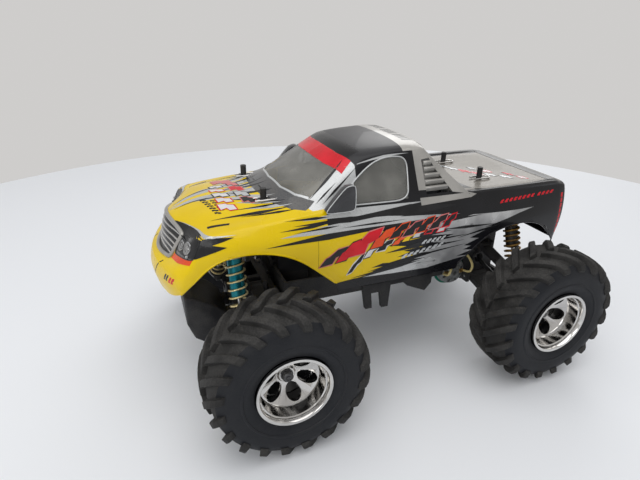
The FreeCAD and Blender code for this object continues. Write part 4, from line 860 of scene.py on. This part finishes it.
def build_shell():
    skin = shell_skin()
    skin_tree = BVHTree.FromObject(skin, bpy.context.evaluated_depsgraph_get())
    wall = walled(copied(skin, "body_shell_paint"), SHELL_WALL)
    windows = side_prisms("side_window_cut", SIDE_WINDOW, 50, 90)
    windows.append(prism("screen_cut", SCREEN, "Z", 203, 250))
    panes = copied(wall, "windows")
    window_tool = joined("window_cut", windows)
    carve(panes, window_tool, "INTERSECT")
    panes.data.materials.clear()
    cuts = side_prisms("front_arch_cut", FRONT_ARCH, 40, 100)
    cuts += side_prisms("rear_arch_cut", REAR_ARCH, 40, 100)
    cuts += side_prisms("louvre_cut", LOUVRE_HOLE, 50, 90)
    for x, y in POST_SPOTS:
        for side in SIDES.values():
            cuts.append(turned("post_cut", [(170, POST_HOLE), (215, POST_HOLE)],
                               (side * x, y, 0), "Z", 24))
    tool = joined("opening_cut", cuts)
    carve(wall, window_tool)
    carve(wall, tool)
    discard(window_tool, tool)
    smooth(wall, 40)
    smooth(panes, 40)
    show(wall, "shell", stands_for=("body_shell",))
    show(panes, "shell", GLASS)
    discard(skin)
    return skin_tree


SKIN = build_shell()


# ---------------------------------------------------------------- decals laid on the shell

# Where the ray to the skin starts at (a, b) in each view, and its direction.
NEAR_SKIN = 0.05
VIEWS = {"left": (lambda a, b: (130, a, b), (-1, 0, 0)),
         "right": (lambda a, b: (-130, a, b), (1, 0, 0)),
         "top": (lambda a, b: (a, b, 270), (0, 0, -1)),
         "front": (lambda a, b: (a, -260, b), (0, 1, 0))}


def skin_under(a, b, view):
    """Point of the shell's skin seen at (a, b) in a view, and the skin's normal there."""
    place, direction = VIEWS[view]
    start, direction = Vector(place(a, b)) * MM, Vector(direction)
    spot, normal, *_ = SKIN.ray_cast(start, direction)
    if spot is None:
        spot, normal, *_ = SKIN.find_nearest(start + direction * NEAR_SKIN)
    return spot, normal


def on_skin(a, b, view, lift):
    """Point just off the shell, in millimetres."""
    spot, normal = skin_under(a, b, view)
    return tuple((spot + normal * lift * MM) / MM)


def decal(name, outlines, view, finish, lift, cell=4):
    """Thin printed film: flat outlines cut into small cells and laid on the shell's skin."""
    mesh = bmesh.new()
    for outline in outlines:
        mesh.faces.new([mesh.verts.new((a, b, 0)) for a, b in outline])
    bmesh.ops.triangulate(mesh, faces=mesh.faces[:])
    for axis in (0, 1):
        spots = [v.co[axis] for v in mesh.verts]
        cut = math.ceil(min(spots) / cell) * cell
        while cut < max(spots):
            point, normal = [0, 0, 0], [0, 0, 0]
            point[axis], normal[axis] = cut, 1
            bmesh.ops.bisect_plane(mesh, geom=mesh.verts[:] + mesh.edges[:] + mesh.faces[:],
                                   plane_co=point, plane_no=normal)
            cut += cell
    for vertex in mesh.verts:
        spot, normal = skin_under(vertex.co.x, vertex.co.y, view)
        vertex.co = spot + normal * lift * MM
    data = bpy.data.meshes.new(name)
    mesh.to_mesh(data)
    mesh.free()
    average = sum((face.normal for face in data.polygons), Vector())
    if average.dot(Vector(VIEWS[view][1])) > 0:
        data.flip_normals()
    film = smooth(walled(linked(name, data), FILM), 50)
    return show(film, "shell", finish)


def lay(view, films, tag=""):
    """Films in one view: name, outlines, finish, height above the skin, and size of cell."""
    for name, outlines, finish, *how in films:
        decal(name + tag, outlines, view, finish, *how)


def stroke_outline(start, end, width, fat=0.5, bow=0.0):
    """Outline of a tapered splash between two points."""
    run = (end[0] - start[0], end[1] - start[1])
    length = math.hypot(*run)
    across = (-run[1] / length, run[0] / length)
    shares = [fat * step / 3 for step in range(4)]
    shares += [fat + (1 - fat) * step / 4 for step in (1, 2, 3, 4)]
    edges = []
    for side in (1, -1):
        for share in shares[:-1] if side == 1 else shares[-1:0:-1]:
            reach = width * min(share / fat, (1 - share) / (1 - fat))
            off = side * reach + 4 * bow * share * (1 - share)
            edges.append((start[0] + run[0] * share + across[0] * off,
                          start[1] + run[1] * share + across[1] * off))
    return edges


def strokes(table):
    return [stroke_outline(*stroke) for stroke in table]


def shard(centre, size, lean, bite=0.25):
    """Outline of a leaning jagged splinter."""
    (a, b), (half, tall) = centre, (size[0] / 2, size[1] / 2)
    return [(a - half - lean / 2, b - tall), (a + half * (1 - bite) - lean / 2, b - tall * 0.82),
            (a + half * (0.55 - bite), b - tall * 0.1), (a + half + lean * 0.15, b + tall * 0.15),
            (a + half + lean / 2, b + tall), (a - half * 0.4 + lean / 2, b + tall * 0.78),
            (a - half * 0.62 + lean * 0.05, b + tall * 0.1), (a - half, b - tall * 0.05)]


def shards(table):
    return [shard(*splinter) for splinter in table]


def grown(outline, by):
    """The same outline pushed outwards a little from its middle."""
    mid = [sum(p[i] for p in outline) / len(outline) for i in (0, 1)]
    moved = []
    for a, b in outline:
        reach = math.hypot(a - mid[0], b - mid[1])
        moved.append((mid[0] + (a - mid[0]) * (1 + by / reach),
                      mid[1] + (b - mid[1]) * (1 + by / reach)))
    return moved


# Splinters as centre, width, height, lean, colour and edge colour: (y, z) on the flanks.
UPPER_SHARDS = [
    (-67, 152, 15, 17, 14, "black", "pink"), (-52, 155, 13, 20, 13, "red", "black"),
    (-35, 161, 22, 25, 17, "red", "pink"), (-16, 163, 15, 19, 12, "orange", "black"),
    (2, 168, 13, 14, 10, "black", "orange"), (17, 168, 14, 14, 10, "black", "pink"),
    (31, 170, 12, 14, 10, "black", "orange"), (46, 171, 13, 13, 10, "black", "pink"),
    (59, 171, 9, 12, 8, "black", "red")]
LOWER_SHARDS = [
    (-43, 140, 6, 21, 12, "black", "white"), (-27, 152, 8, 15, 9, "white", "black"),
    (-13, 155, 11, 11, 8, "black", "white"), (2, 158, 9, 9, 7, "orange", "black"),
    (13, 160, 9, 9, 7, "yellow", "black"), (24, 162, 9, 8, 6, "silver", "black"),
    (38, 164, 9, 7, 6, "black", "red"), (52, 164, 9, 7, 6, "silver", "red")]
# Smaller grey splinters low on the door, and red dashes on the bed's side.
SMALL_SHARDS = [((y, 150 + 0.06 * y), (4.2, 4.6), 2.0) for y in (31, 36.5, 42, 47.5, 53)]
SMALL_SHARDS += [((y, 137.6 + 0.16 * y), (5, 5.4), 2.4) for y in (10, 16.5, 23, 30, 37, 44, 51)]
BED_DASHES = [((y, 181.6 + 0.035 * (y - 123)), (4.6, 3.6), 1.0)
              for y in (125, 131, 137, 143, 149, 155, 161, 167, 176, 182, 188, 194)]
LAMP_WING = [(-207, 181.4), (-198, 183), (-190, 183.6), (-174, 184), (-157, 183.6), (-168, 180.6),
             (-176, 178.4), (-164, 176.4), (-178, 171.4), (-190, 166.6), (-205, 162.4)]
PILLAR_LINES = [((-85, 202), (-44, 234), 0.7, 0.5), ((-74, 199.5), (-36, 230), 1.0, 0.35),
                ((-80, 200), (-58, 217), 0.7, 0.4)]

HOOD_SHARDS = [
    (38, -154, 12, 15, 3, "white", "red"), (24, -154, 10, 14, 3, "white", "red"),
    (11, -155, 10, 14, 3, "white", "black"), (-2, -156, 7, 13, 3, "white", "red"),
    (-14, -155, 7, 12, 2, "white", "black"), (-30, -147, 18, 18, 4, "pink", "pink"),
    (-14, -139, 14, 10, 3, "pink", "black"), (2, -138, 13, 12, 3, "red", "pink"),
    (18, -136, 12, 12, 3, "silver", "black"), (33, -133, 12, 12, 3, "black", "pink")]
BED_SHARDS = [
    (-22, 118, 12, 9, 3, "silver", "black"), (-9, 124, 11, 8, 3, "silver", "black"),
    (4, 131, 12, 8, 3, "red", "pink"), (16, 139, 12, 8, 3, "red", "silver"),
    (-2, 146, 9, 6, 2, "silver", "black"), (12, 155, 10, 7, 2, "silver", "red"),
    (26, 150, 10, 8, 3, "silver", "black"), (38, 162, 11, 8, 3, "silver", "black"),
    (30, 172, 12, 6, 3, "red", "black"), (46, 178, 9, 6, 2, "silver", "red")]
HOOD_TICKS = [((x, -176 + 0.28 * x), (3.4, 6), 1.0) for x in (14, 19, 24, 29, 34, 39, 44)]
HOOD_TICKS += [((x, -168.5 + 0.22 * x), (3.2, 4.6), 1.0) for x in (20, 25, 30, 35, 40)]


def sorted_decals(name, table, view, levels):
    """One film of each colour for the splinters, and below them one for each edge colour."""
    cores, edges = {}, {}
    for a, b, wide, high, lean, colour, edge in table:
        outline = shard((a, b), (wide, high), lean)
        cores.setdefault(colour, []).append(outline)
        edges.setdefault(edge, []).append(grown(outline, 1.5))
    for level, group in zip(levels, (edges, cores)):
        for i, (colour, outlines) in enumerate(group.items()):
            decal(f"{name}_{colour}_{int(level * 100)}", outlines, view, COLOURS[colour],
                  level + 0.02 * i)


def flank_decals(side):
    tag = f"_{side}"
    lay(side, [("flank_silver", strokes(FLANK_SILVER), SMOKE, 0.12),
               ("flank_night", strokes(FLANK_NIGHT), LINE_BLACK, 0.2),
               ("flank_black", strokes(FLANK_BLACK), LINE_BLACK, 0.2)], tag)
    sorted_decals(f"lower_shards_{side}", LOWER_SHARDS, side, (0.28, 0.36))
    sorted_decals(f"upper_shards_{side}", UPPER_SHARDS, side, (0.44, 0.54))
    lay(side, [
        ("door_ticks", shards(SMALL_SHARDS), COLOURS["silver"], 0.28),
        ("bed_dashes", shards(BED_DASHES), LINE_RED, 0.12),
        ("lamp_wing", [LAMP_WING], LINE_BLACK, 0.3, 1),
        ("lamp_wing_edge", [stroke_outline((-196, 183.4), (-154, 185.2), 0.8)], SMOKE, 0.3, 2),
        ("pillar_lines", strokes(PILLAR_LINES), LINE_BLACK, 0.12),
        ("roof_line", [stroke_outline((-47, 228.6), (19, 236.8), 1.1, 0.6, 2.4)], SMOKE, 0.12),
        # Painted shade line along the door seam's groove.
        ("door_seam", [[(-82.4, 143), (-82, 143), (-82, 172), (-82.4, 172)]], SEAM_SHADE, 0.06),
        ("hoop_foot", [[(26.4, 195.6), (27.4, 188.6), (86, 190.2), (93, 192.8), (84, 195)]],
         HOOP_SILVER, 0.26)], tag)


def both_sides(outlines):
    """Outlines in (x, y) and their mirror images."""
    return outlines + [[(-x, y) for x, y in reversed(outline)] for outline in outlines]


BADGE = [(57, -176), (60, -176), (64.4, -158), (61.6, -157)]
BANNER = [(34, -45.8), (17, -47.6), (0, -48.2), (-17, -47.6), (-34, -45.8), (-55, -40),
          (-60.5, -51.5), (-36, -60), (-18, -62.6), (0, -63.4), (18, -62.6), (36, -60),
          (60.5, -51.5), (55, -40)]
COWL = [(0, -124), (18, -122.5), (36, -118.5), (52, -111.5), (64, -101), (70, -90),
        (66.4, -80), (62.6, -84.2), (50, -93.8), (30, -101.9), (0, -105)]
COWL_SLOTS = [[(8 + 9 * i, -117.6 + 0.16 * i * i), (15.5 + 9 * i, -117.2 + 0.2 * i * i),
               (15.5 + 9 * i, -115.9 + 0.2 * i * i), (8 + 9 * i, -116.3 + 0.16 * i * i)]
              for i in range(5)]
SCREEN_LINE = [(0, -103.2), (30, -100.2), (49.4, -92.4), (60.6, -83.4), (62.4, -84.6),
               (50.6, -94), (30, -102), (0, -105)]
TAIL_STRIP = [[(208.4, z), (211.4, z), (211.8, z + 4.8), (208.8, z + 4.8)]
              for z in range(134, 182, 6)]
NOSE_SEAM = [(31.4, 149.6), (32.6, 149.2), (28.4, 143), (24.6, 134), (23.6, 134.2),
             (27.2, 143.4)]
HOOP_DASHES = [[(x, 23.5), (x + 3.4, 23.5), (x + 4.4, 33), (x + 1.0, 33)]
               for x in (-39, -33, -27, -21, -12, -6, 0, 6, 15, 21, 27, 33)]


def nose_marks(start):
    return both_sides([shard((start + 3.8 * i, 141 + 0.3 * i), (3.4, 6.8), 1.2) for i in (0, 1)])


def build_decals():
    for side in SIDES:
        flank_decals(side)
    lay("top", [("hood_silver", both_sides(strokes(HOOD_SILVER)), SMOKE, 0.12),
                ("hood_black", both_sides(strokes(HOOD_BLACK)), LINE_BLACK, 0.2),
                ("hood_pale", both_sides(strokes(HOOD_PALE)), SMOKE, 0.28)])
    sorted_decals("hood_shards", HOOD_SHARDS, "top", (0.34, 0.44))
    lay("top", [("hood_ticks", shards(HOOD_TICKS), LINE_BLACK, 0.12),
                ("hood_badge", both_sides([BADGE]), LINE_BLACK, 0.12),
                ("screen_banner", [BANNER], LINE_RED, 0.12),
                ("cowl_band", both_sides([COWL]), COWL_GREY, 0.16),
                ("cowl_slots", both_sides(COWL_SLOTS), LINE_BLACK, 0.24),
                ("screen_edge", both_sides([SCREEN_LINE]), SMOKE, 0.24)])
    for side in SIDES:
        lay(side, [("tail_strip", TAIL_STRIP, LINE_RED, 0.12)], f"_{side}")
    lay("top", [("tail_rim", [[(-67, 198.4), (67, 198.4), (67, 206.8), (-67, 206.8)]],
                 LINE_BLACK, 0.25, 2)])
    lay("front", [("nose_seam", both_sides([NOSE_SEAM]), LINE_BLACK, 0.15, 2),
                  ("nose_marks_black", nose_marks(48), LINE_BLACK, 0.1),
                  ("nose_marks_red", nose_marks(56.5), LINE_RED, 0.1)])
    sorted_decals("bed_shards", BED_SHARDS, "top", (0.12, 0.2))
    lay("top", [("hoop_dashes", HOOP_DASHES, COWL_GREY, 0.12)])


build_decals()


# ---------------------------------------------------------------- fittings of the shell

GRILLE = both_halves([(0, 183.4), (15, 182.4), (30, 179.4), (41, 176.4), (41.8, 175.2),
                      (40.8, 169.6), (37, 158.6), (34, 153.6), (32.8, 152.8), (16, 151),
                      (0, 150.6)])


def build_grille():
    """Chromed surround with five bars over a dark recess."""
    decal("grille_recess", [GRILLE], "front", LINE_BLACK, 0.35)
    loop = [on_skin(x, z, "front", 0.3) for x, z in GRILLE]
    show(tube("grille_surround", loop, 2.1, cyclic=True, rings=4), "shell", HOOP_SILVER)
    bars = []
    for half, z in ((40, 175.2), (38.8, 170.4), (37.2, 165.6), (35.6, 160.8), (34, 156)):
        points = [on_skin(half * t / 4, z + 2.4 * (1 - (t / 4) ** 2), "front", 0.2)
                  for t in range(-4, 5)]
        bars.append(tube("grille_bar", points, 0.95))
    show(joined("grille_bars", bars), "shell", CHROME)


LAMP = [(44.6, 177.4), (52, 178.8), (64, 181), (72.8, 182.6), (73.8, 172), (73.6, 165),
        (66, 163), (54, 161.4), (40.6, 159.2), (43, 167)]
LAMP_STRIP = [(39.8, 158.8), (54, 161.2), (73, 164.8), (72.4, 160), (56, 156.2), (37.4, 153.6)]
# Reflectors as (x, z, radius), and their profile as shares of the radius.
BOWLS = [(49.5, 169.6, 5.2), (61.5, 171.4, 6.0), (66, 165.6, 2.0)]
BOWL_RING = [(-0.6, 0.98), (0.3, 1), (0.75, 0.97), (0.6, 0.9), (0.25, 0.66), (0.2, 0.5),
             (0.62, 0.4), (0.3, 0.18)]


def build_headlights():
    """Dark lamp housings with silver reflectors, an amber strip below."""
    housing = finish_of("lamp_housing", (0.035, 0.035, 0.038), (0.12, 0.12, 0.125), (0.12, 0.22),
                        metallic=0.5, coat=0.8, patch=260)
    silvered = finish_of("lamp_reflector", (0.22, 0.22, 0.22), (0.42, 0.42, 0.42), (0.12, 0.24),
                         metallic=0.9, coat=0.6, patch=300)
    bowls, rims = [], []
    for tag, side in SIDES.items():
        lamp, strip = ([(side * x, z) for x, z in outline] for outline in (LAMP, LAMP_STRIP))
        lay("front", [("lamp_housing", [lamp], housing, 0.2, 2),
                      ("lamp_strip", [strip], COLOURS["orange"], 0.2, 2)], f"_{tag}")
        for x, z, radius in BOWLS:
            spot, normal = skin_under(side * x, z, "front")
            bowl = turned("lamp_bowl", [(along, radius * share) for along, share in BOWL_RING],
                          axis="Z", steps=32)
            bowl.data.transform(Matrix.Translation(spot)
                                @ normal.to_track_quat("Z", "Y").to_matrix().to_4x4())
            bowls.append(bowl)
        loop = [on_skin(x, z, "front", 0.25) for x, z in lamp]
        rims.append(tube("lamp_edge", loop, 0.55, cyclic=True))
    show(joined("lamp_reflectors", bowls), "shell", silvered)
    show(joined("lamp_edges", rims), "shell", LINE_BLACK)


WINDOW_FRAME = [(-61, 197.4), (-40, 196.6), (-15, 196), (13.8, 195.6), (15.2, 214),
                (15.6, 233.4), (0, 235.4), (-14, 233.8), (-28, 227.4), (-46, 213.2)]
QUARTER_BAR = [(-42.5, z) for z in (197, 204, 210, 216)]


def build_hoop_fittings():
    """Five slats in each side of the hoop, window frames and rolled arch lips."""
    slats, frames, lips = [], [], []
    for tag, side in SIDES.items():
        for z in (202.5, 208.5, 214.5, 220.5, 226):
            rear = 64 - (z - 198) * 0.74
            outer = 72.6 - (z - 198) * 0.335
            slats.append(box("slat", (3.0, rear - 34, 5.2),
                             (side * (outer - 1.2), (rear + 33) / 2, z), 0.7,
                             (0, side * 24, 0)))
        for line, radius, cyclic in ((WINDOW_FRAME, 0.75, True), (QUARTER_BAR, 0.9, False)):
            points = [on_skin(y, z, tag, 0.1) for y, z in line]
            frames.append(tube("window_frame", points, radius, cyclic))
        for line in (FRONT_ARCH[2:-1], REAR_ARCH[1:-1]):
            lips.append(tube("arch_lip", [on_skin(y, z, tag, -0.5) for y, z in line], 1.1))
    show(joined("hoop_slats", slats), "shell", HOOP_SILVER)
    show(joined("window_frames", frames), "shell", SMOKE)
    show(joined("arch_lips", lips), "shell", PAINT)


MIRROR = [(-75, 196.6), (-67, 206), (-58.5, 215.5), (-55, 218.2), (-48.6, 219), (-46.4, 216),
          (-46, 197.2), (-48, 194.6), (-60, 194.6), (-73, 194.8)]


def build_mirrors():
    """Door mirrors: dark pods low in each side window's front corner, edged in silver."""
    pods, edges = [], []
    for side in SIDES.values():
        pod = prism("mirror", MIRROR, "X", side * 74.6, side * 82.5)
        pods.append(rounded(pod, 1.4, 3))
        loop = [(side * 82.4, y, z) for y, z in MIRROR]
        edges.append(tube("mirror_edge", loop, 0.45, cyclic=True))
    show(smooth(joined("door_mirrors", pods)), "shell", MIRROR_GREY)
    show(joined("mirror_edges", edges), "shell", SMOKE)


build_grille()
build_headlights()
build_hoop_fittings()
build_mirrors()


# ---------------------------------------------------------------- wheels

TYRE_HALF = [(-22, 33.8), (-25.6, 34), (-26.6, 37), (-28.2, 40), (-28.9, 43.6), (-29.7, 44.2),
             (-29.7, 45.6), (-29.2, 46.4), (-29.6, 51), (-29.2, 56), (-27.6, 61), (-24.4, 65),
             (-18, 67.4), (-8, 68.3)]
TYRE_RING = TYRE_HALF + [(0, 68.5)] + [(-x, radius) for x, radius in reversed(TYRE_HALF)]
TREAD_FROM = 64.5

# A tread block from the middle over the shoulder: foot (x, radius), crown (x, radius), slant.
LUG = [((0.8, 67.8), (1.2, 73.2), -3.0), ((6, 67.7), (6.2, 73.3), 1.5),
       ((12, 67.5), (12.4, 73.1), 6.5), ((17, 66.8), (17.8, 72.5), 11.0),
       ((21, 65.8), (22.4, 71.4), 15.0), ((24.4, 64.0), (26.4, 69.4), 18.5),
       ((27, 61.4), (29.4, 66.0), 21.0), ((28.6, 58.4), (30.3, 61.4), 22.5)]
LUG_HALF = {"foot": 4.9, "crown": 3.6}
LUG_RADIUS = 70.0
LUG_LEAD = 10
LUGS_ROUND = 20


def tread_block():
    """One block: a bar cut into seven, bent over the shoulder and wrapped round the tyre."""
    bpy.ops.mesh.primitive_cube_add(size=1)
    thing = named("tread_block")
    pieces = len(LUG) - 1
    thing.scale = (pieces, 1, 1)
    thing.location = (pieces / 2, 0, 0)
    settle(thing)
    with editing(thing):
        for cut in range(1, pieces):
            bpy.ops.mesh.select_all(action="SELECT")
            bpy.ops.mesh.bisect(plane_co=(cut, 0, 0), plane_no=(1, 0, 0))
    for vertex in thing.data.vertices:
        foot, crown, slant = LUG[round(vertex.co.x)]
        across, radius = crown if vertex.co.z > 0 else foot
        half = LUG_HALF["crown" if vertex.co.z > 0 else "foot"]
        angle = (half * (1 if vertex.co.y > 0 else -1) + slant - LUG_LEAD) / LUG_RADIUS
        vertex.co = Vector((across, radius * math.sin(angle), radius * math.cos(angle))) * MM
    outward(thing)
    return rounded(thing, 0.5, 1, 50)


def build_tyre():
    carcass = turned("tyre_carcass", TYRE_RING, steps=96, closed=True)
    carcass.data.materials.append(RUBBER)
    carcass.data.materials.append(TREAD_RUBBER)
    for face in carcass.data.polygons:
        if math.hypot(face.center.y, face.center.z) > TREAD_FROM * MM:
            face.material_index = 1
    block = tread_block()
    block.data.materials.append(TREAD_RUBBER)
    things = [carcass]
    step = 360 / LUGS_ROUND
    for i in range(LUGS_ROUND):
        things.append(copied(block, "tread_near", spin(step * i)))
        things.append(copied(block, "tread_far", spin(step * (i + 0.5)), mirror=True))
    discard(block)
    return joined("tyre", things)


RIM_RING = [(29, 33.3), (29, 30.9), (28.2, 30.3), (24.6, 29.6), (23.8, 28.6), (13.4, 28),
            (11.6, 27), (2.8, 9.8), (2.6, 8.4), (3.6, 7.6), (4.4, 7), (4.4, 3.4), (-1.6, 3.4),
            (-1.6, 8.8), (8, 27.2), (4, 27.8), (-5, 28.4), (-27, 30.2), (-29, 31), (-29, 33.3),
            (-26.8, 33.3), (-26, 31.8), (-8, 30.8), (10, 30.8), (24.6, 31.6), (26.4, 33.3)]
# Windows of the rim: number, middle radius, half height and half width, and turn in degrees.
WINDOWS, WINDOW_AT, WINDOW_HIGH, WINDOW_WIDE, WINDOW_TURN = 6, 18.2, 8.3, 6.7, 15


def build_rim():
    """Deep chromed rim with six oval windows round its hub."""
    rim = turned("rim", RIM_RING, steps=96, closed=True)
    oval = [(WINDOW_WIDE * math.sin(math.radians(a)),
             WINDOW_AT + WINDOW_HIGH * math.cos(math.radians(a))) for a in range(0, 360, 18)]
    ovals = []
    for i in range(WINDOWS):
        cutter = prism("rim_window", oval, "X", -6, 16)
        cutter.data.transform(spin(360 / WINDOWS * i + WINDOW_TURN))
        ovals.append(cutter)
    tool = joined("rim_windows", ovals)
    carve(rim, tool)
    discard(tool)
    rounded(rim, 0.35, 2, 50)
    return smooth(rim, 40)


def build_wheels():
    tyre, rim = build_tyre(), build_rim()
    nut = turned("nut", [(4.3, 5.6), (4.8, 5.8), (5.0, 4.9), (8.6, 4.9), (9.3, 4.2), (9.4, 2.4),
                         (8.8, 2.3), (8.8, 1.9), (9.6, 1.8), (9.9, 1.3)], steps=12)
    # Painted shade: a black disc behind the rim's windows stands in for the shaded, open inside of
    # the wheel.
    shade_disc = turned("painted_shade_disc", [(-4.8, 5), (-4.8, 27.6), (-4, 27.6), (-4, 5)], steps=48,
                     closed=True)
    for end, y in AXLES.items():
        for tag, side in SIDES.items():
            corner, place = f"{end}_{tag}", shift(side * WHEEL_X, y, AXLE_Z)
            for piece, finish, stands_for in ((tyre, None, (f"tyre_{corner}",)),
                                              (rim, CHROME, (f"rim_{corner}",)),
                                              (nut, BLACK_STEEL, ()),
                                              (shade_disc, LINE_BLACK, ())):
                twin = copied(piece, f"{piece.name}_{corner}_looks", place, side < 0)
                show(twin, f"wheel_{corner}", finish, stands_for)
    discard(tyre, rim, nut, shade_disc)


build_wheels()


# ---------------------------------------------------------------- shock absorbers

SHOCK_TOP = (37.0, 165.0)
SHOCK_LEAN = math.radians(180 - 18.266)
SHOCK_LENGTH = 102.44
SHOCK_Y = {"front": -152.0, "rear": 175.0}
SHOCK_LOOKS = {"front": (TEAL, CREAM_SPRING), "rear": (DARK_DAMPER, GOLD_SPRING)}
SPRINGS = {"front": (0.95, 10.5), "rear": (1.3, 13)}
COIL_STEPS = 12
CLOSED_TURNS, CLOSED_REACH = 0.06, 0.03


def helix(name, radius, wire, low, high, turns):
    """Coil spring with closed end turns, drawn down its axis."""
    count = round(turns * COIL_STEPS)
    points = []
    for i in range(count + 1):
        share = i / count
        rest = 1 - share
        if share < CLOSED_TURNS:
            reach = CLOSED_REACH * share / CLOSED_TURNS
        elif rest < CLOSED_TURNS:
            reach = 1 - CLOSED_REACH * rest / CLOSED_TURNS
        else:
            reach = (CLOSED_REACH + (1 - 2 * CLOSED_REACH) * (share - CLOSED_TURNS)
                     / (1 - 2 * CLOSED_TURNS))
        angle = 2 * math.pi * i / COIL_STEPS
        points.append((radius * math.cos(angle), radius * math.sin(angle),
                       low + (high - low) * reach))
    return tube(name, points, wire)


def eye_ring(name, bore, along):
    return turned(name, [(-3.5, bore), (-3.5, 4.5), (-3.0, 5.0), (3.0, 5.0), (3.5, 4.5),
                         (3.5, bore)], (0, 0, along), "Y", 40, closed=True)


def shock_pieces(end):
    """Body, rod and spring of the left shock of one end, drawn down from the top pivot."""
    body = turned("damper_body", [
        (4.6, 4.4), (5.2, 6.2), (5.9, 6.7), (7.2, 6.7), (7.7, 6.2), (8.4, 6.2), (8.9, 6.7),
        (11.4, 6.7), (12, 7.0), (12.2, 7.2), (56.8, 7.2), (57.6, 6.6), (58, 5.2), (58, 2.1),
        (20, 2.0)], axis="Z", steps=48)
    ring = turned("damper_ring", [
        (13.4, 7.3), (13.4, 9.3), (13.9, 9.9), (14.5, 9.9), (14.7, 9.5), (15.0, 9.9),
        (15.6, 9.9), (16.0, 9.4), (16.0, 7.3)], axis="Z", steps=40, closed=True)
    rod = turned("damper_rod", [(31, 1.3), (31.4, 1.55), (97.2, 1.55)], axis="Z", steps=24)
    cup = turned("damper_cup", [
        (91.9, 1.6), (91.9, 9.0), (92.3, 9.9), (93.4, 9.9), (94.2, 9.2), (94.6, 6.0),
        (96.0, 4.6), (98.0, 4.4), (98.6, 1.6)], axis="Z", steps=40, closed=True)
    wire, turns = SPRINGS[end]
    spring = helix("damper_spring", 9.9 - wire, wire, 16.2 + wire, 91.8 - wire, turns)
    return {"body": [body, eye_ring("damper_eye", 2.7, 0)], "ring": [ring], "rod": [rod],
            "cup": [cup, eye_ring("damper_foot", 3.1, SHOCK_LENGTH)], "spring": [spring]}


def build_shocks():
    for end, y in SHOCK_Y.items():
        body_finish, spring_finish = SHOCK_LOOKS[end]
        made = {kind: joined(f"shock_{kind}", things)
                for kind, things in shock_pieces(end).items()}
        lean = shift(SHOCK_TOP[0], y, SHOCK_TOP[1]) @ Matrix.Rotation(SHOCK_LEAN, 4, "Y")
        for tag, side in SIDES.items():
            corner = f"{end}_{tag}"
            body, rod = f"shock_{corner}", f"shock_rod_{corner}"
            for kind, carrier, finish, stands_for in (
                    ("body", body, body_finish, (f"shock_body_{corner}",)),
                    ("ring", body, NYLON, ()), ("rod", rod, STEEL, (f"shock_rod_{corner}",)),
                    ("cup", rod, NYLON, ()), ("spring", None, spring_finish, ())):
                piece = copied(made[kind], f"shock_{kind}_{corner}_looks", lean)
                if side < 0:
                    flip_over(piece)
                if carrier:
                    show(piece, carrier, finish, stands_for)
                    continue
                painted(piece, finish)
                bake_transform(piece)
                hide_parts(f"spring_{corner}")
        discard(*made.values())


build_shocks()


# ---------------------------------------------------------------- motor, gear and fittings

def round_motor(name, count, first, *sizes):
    """Boxes set round the motor's axis, the first at an angle in degrees."""
    things = []
    for i in range(count):
        thing = box(name, *sizes)
        thing.data.transform(shift(*MOTOR_SPOT) @ spin(360 / count * i + first))
        things.append(thing)
    return joined(name, things)


def build_motor():
    """Motor: cast end bell with cooling slots and brush holders, a steel can with its band."""
    bell = turned("motor_bell", [
        (23.1, 12), (23.1, 17.0), (24.4, 17.6), (26.2, 17.6), (26.8, 16.9), (31.4, 16.4),
        (33.6, 14.6), (34.6, 12.2), (34.6, 8.4), (35.4, 7.4), (37.2, 6.6), (37.8, 5.4),
        (37.8, 2.4), (33.0, 2.2)], MOTOR_SPOT)
    tool = round_motor("bell_slots", 8, 22.5, (7, 3.2, 4.6), (33.4, 0, 12.4), 0)
    carve(bell, tool)
    discard(tool)
    show(smooth(bell), "chassis", CAST_ALLOY, ("motor_endbell",))
    for name, profile in (
            ("motor_band", [(6, 17.9), (6, 18.3), (23.4, 18.3), (23.4, 17.9)]),
            ("motor_ring", [(22.2, 17), (22.2, 19.8), (22.6, 20.3), (24.3, 20.3), (24.7, 19.8),
                            (24.7, 17)])):
        show(smooth(turned(name, profile, MOTOR_SPOT, closed=True)), "chassis", GREEN_BAND)
    holders = round_motor("brush_holders", 2, 90, (2.4, 5.2, 7.2), (34.3, 0, 9.6), 0.5)
    show(holders, "chassis", BRASS)


# Finish of the CAD nodes that are shown as they are, by the start of their names.
CAD_FINISH = [
    (NYLON, ("body_posts", "carrier", "front_bulkhead", "lower_arm", "servo_horn", "shock_tower",
             "steering_bar", "upper_arm")),
    (STEEL, ("axle_rear", "hinge_pins")), (BLACK_STEEL, ("half_shaft", "knuckle", "tie_rod")),
    (TUB_PLASTIC, ("chassis_tub", "rear_gearbox")), (GEAR_NYLON, ("differential", "idler_gear")),
    (CHROME, ("body_clips",)), (CAN_STEEL, ("motor_can",)), (BRASS, ("motor_pinion",)),
    (WIRE_SLEEVE, ("motor_wires",)), (SPEED_CASE, ("speed_controller",)),
    (SERVO_CASE, ("steering_servo",))]


def finish_cad_nodes():
    for name, node in NODES.items():
        for finish, starts in CAD_FINISH:
            if name.startswith(starts):
                for slot in node.material_slots:
                    slot.material = finish


SCOOP = [(-201, 102), (-200.4, 72), (-194, 54), (-184, 46.4), (-172, 49), (-161, 62), (-158, 76),
         (-170, 88), (-192, 102)]
SCOOP_HALF = 29


def build_bumper():
    """Curved front scoop on its two arms."""
    scoop = rounded(prism("front_scoop", SCOOP, "X", -SCOOP_HALF, SCOOP_HALF), 2.5, 3, 30)
    arms = [box("bumper_arm", (9, 14, 12), (x, -159, 69), 0.8) for x in (-14, 14)]
    show(smooth(joined("bumper_looks", [scoop] + arms)), "chassis", TUB_PLASTIC,
         ("front_bumper",))


build_motor()
build_bumper()
finish_cad_nodes()


pose_camera()
build_stage()
bpy.context.scene.view_settings.view_transform = "Standard"
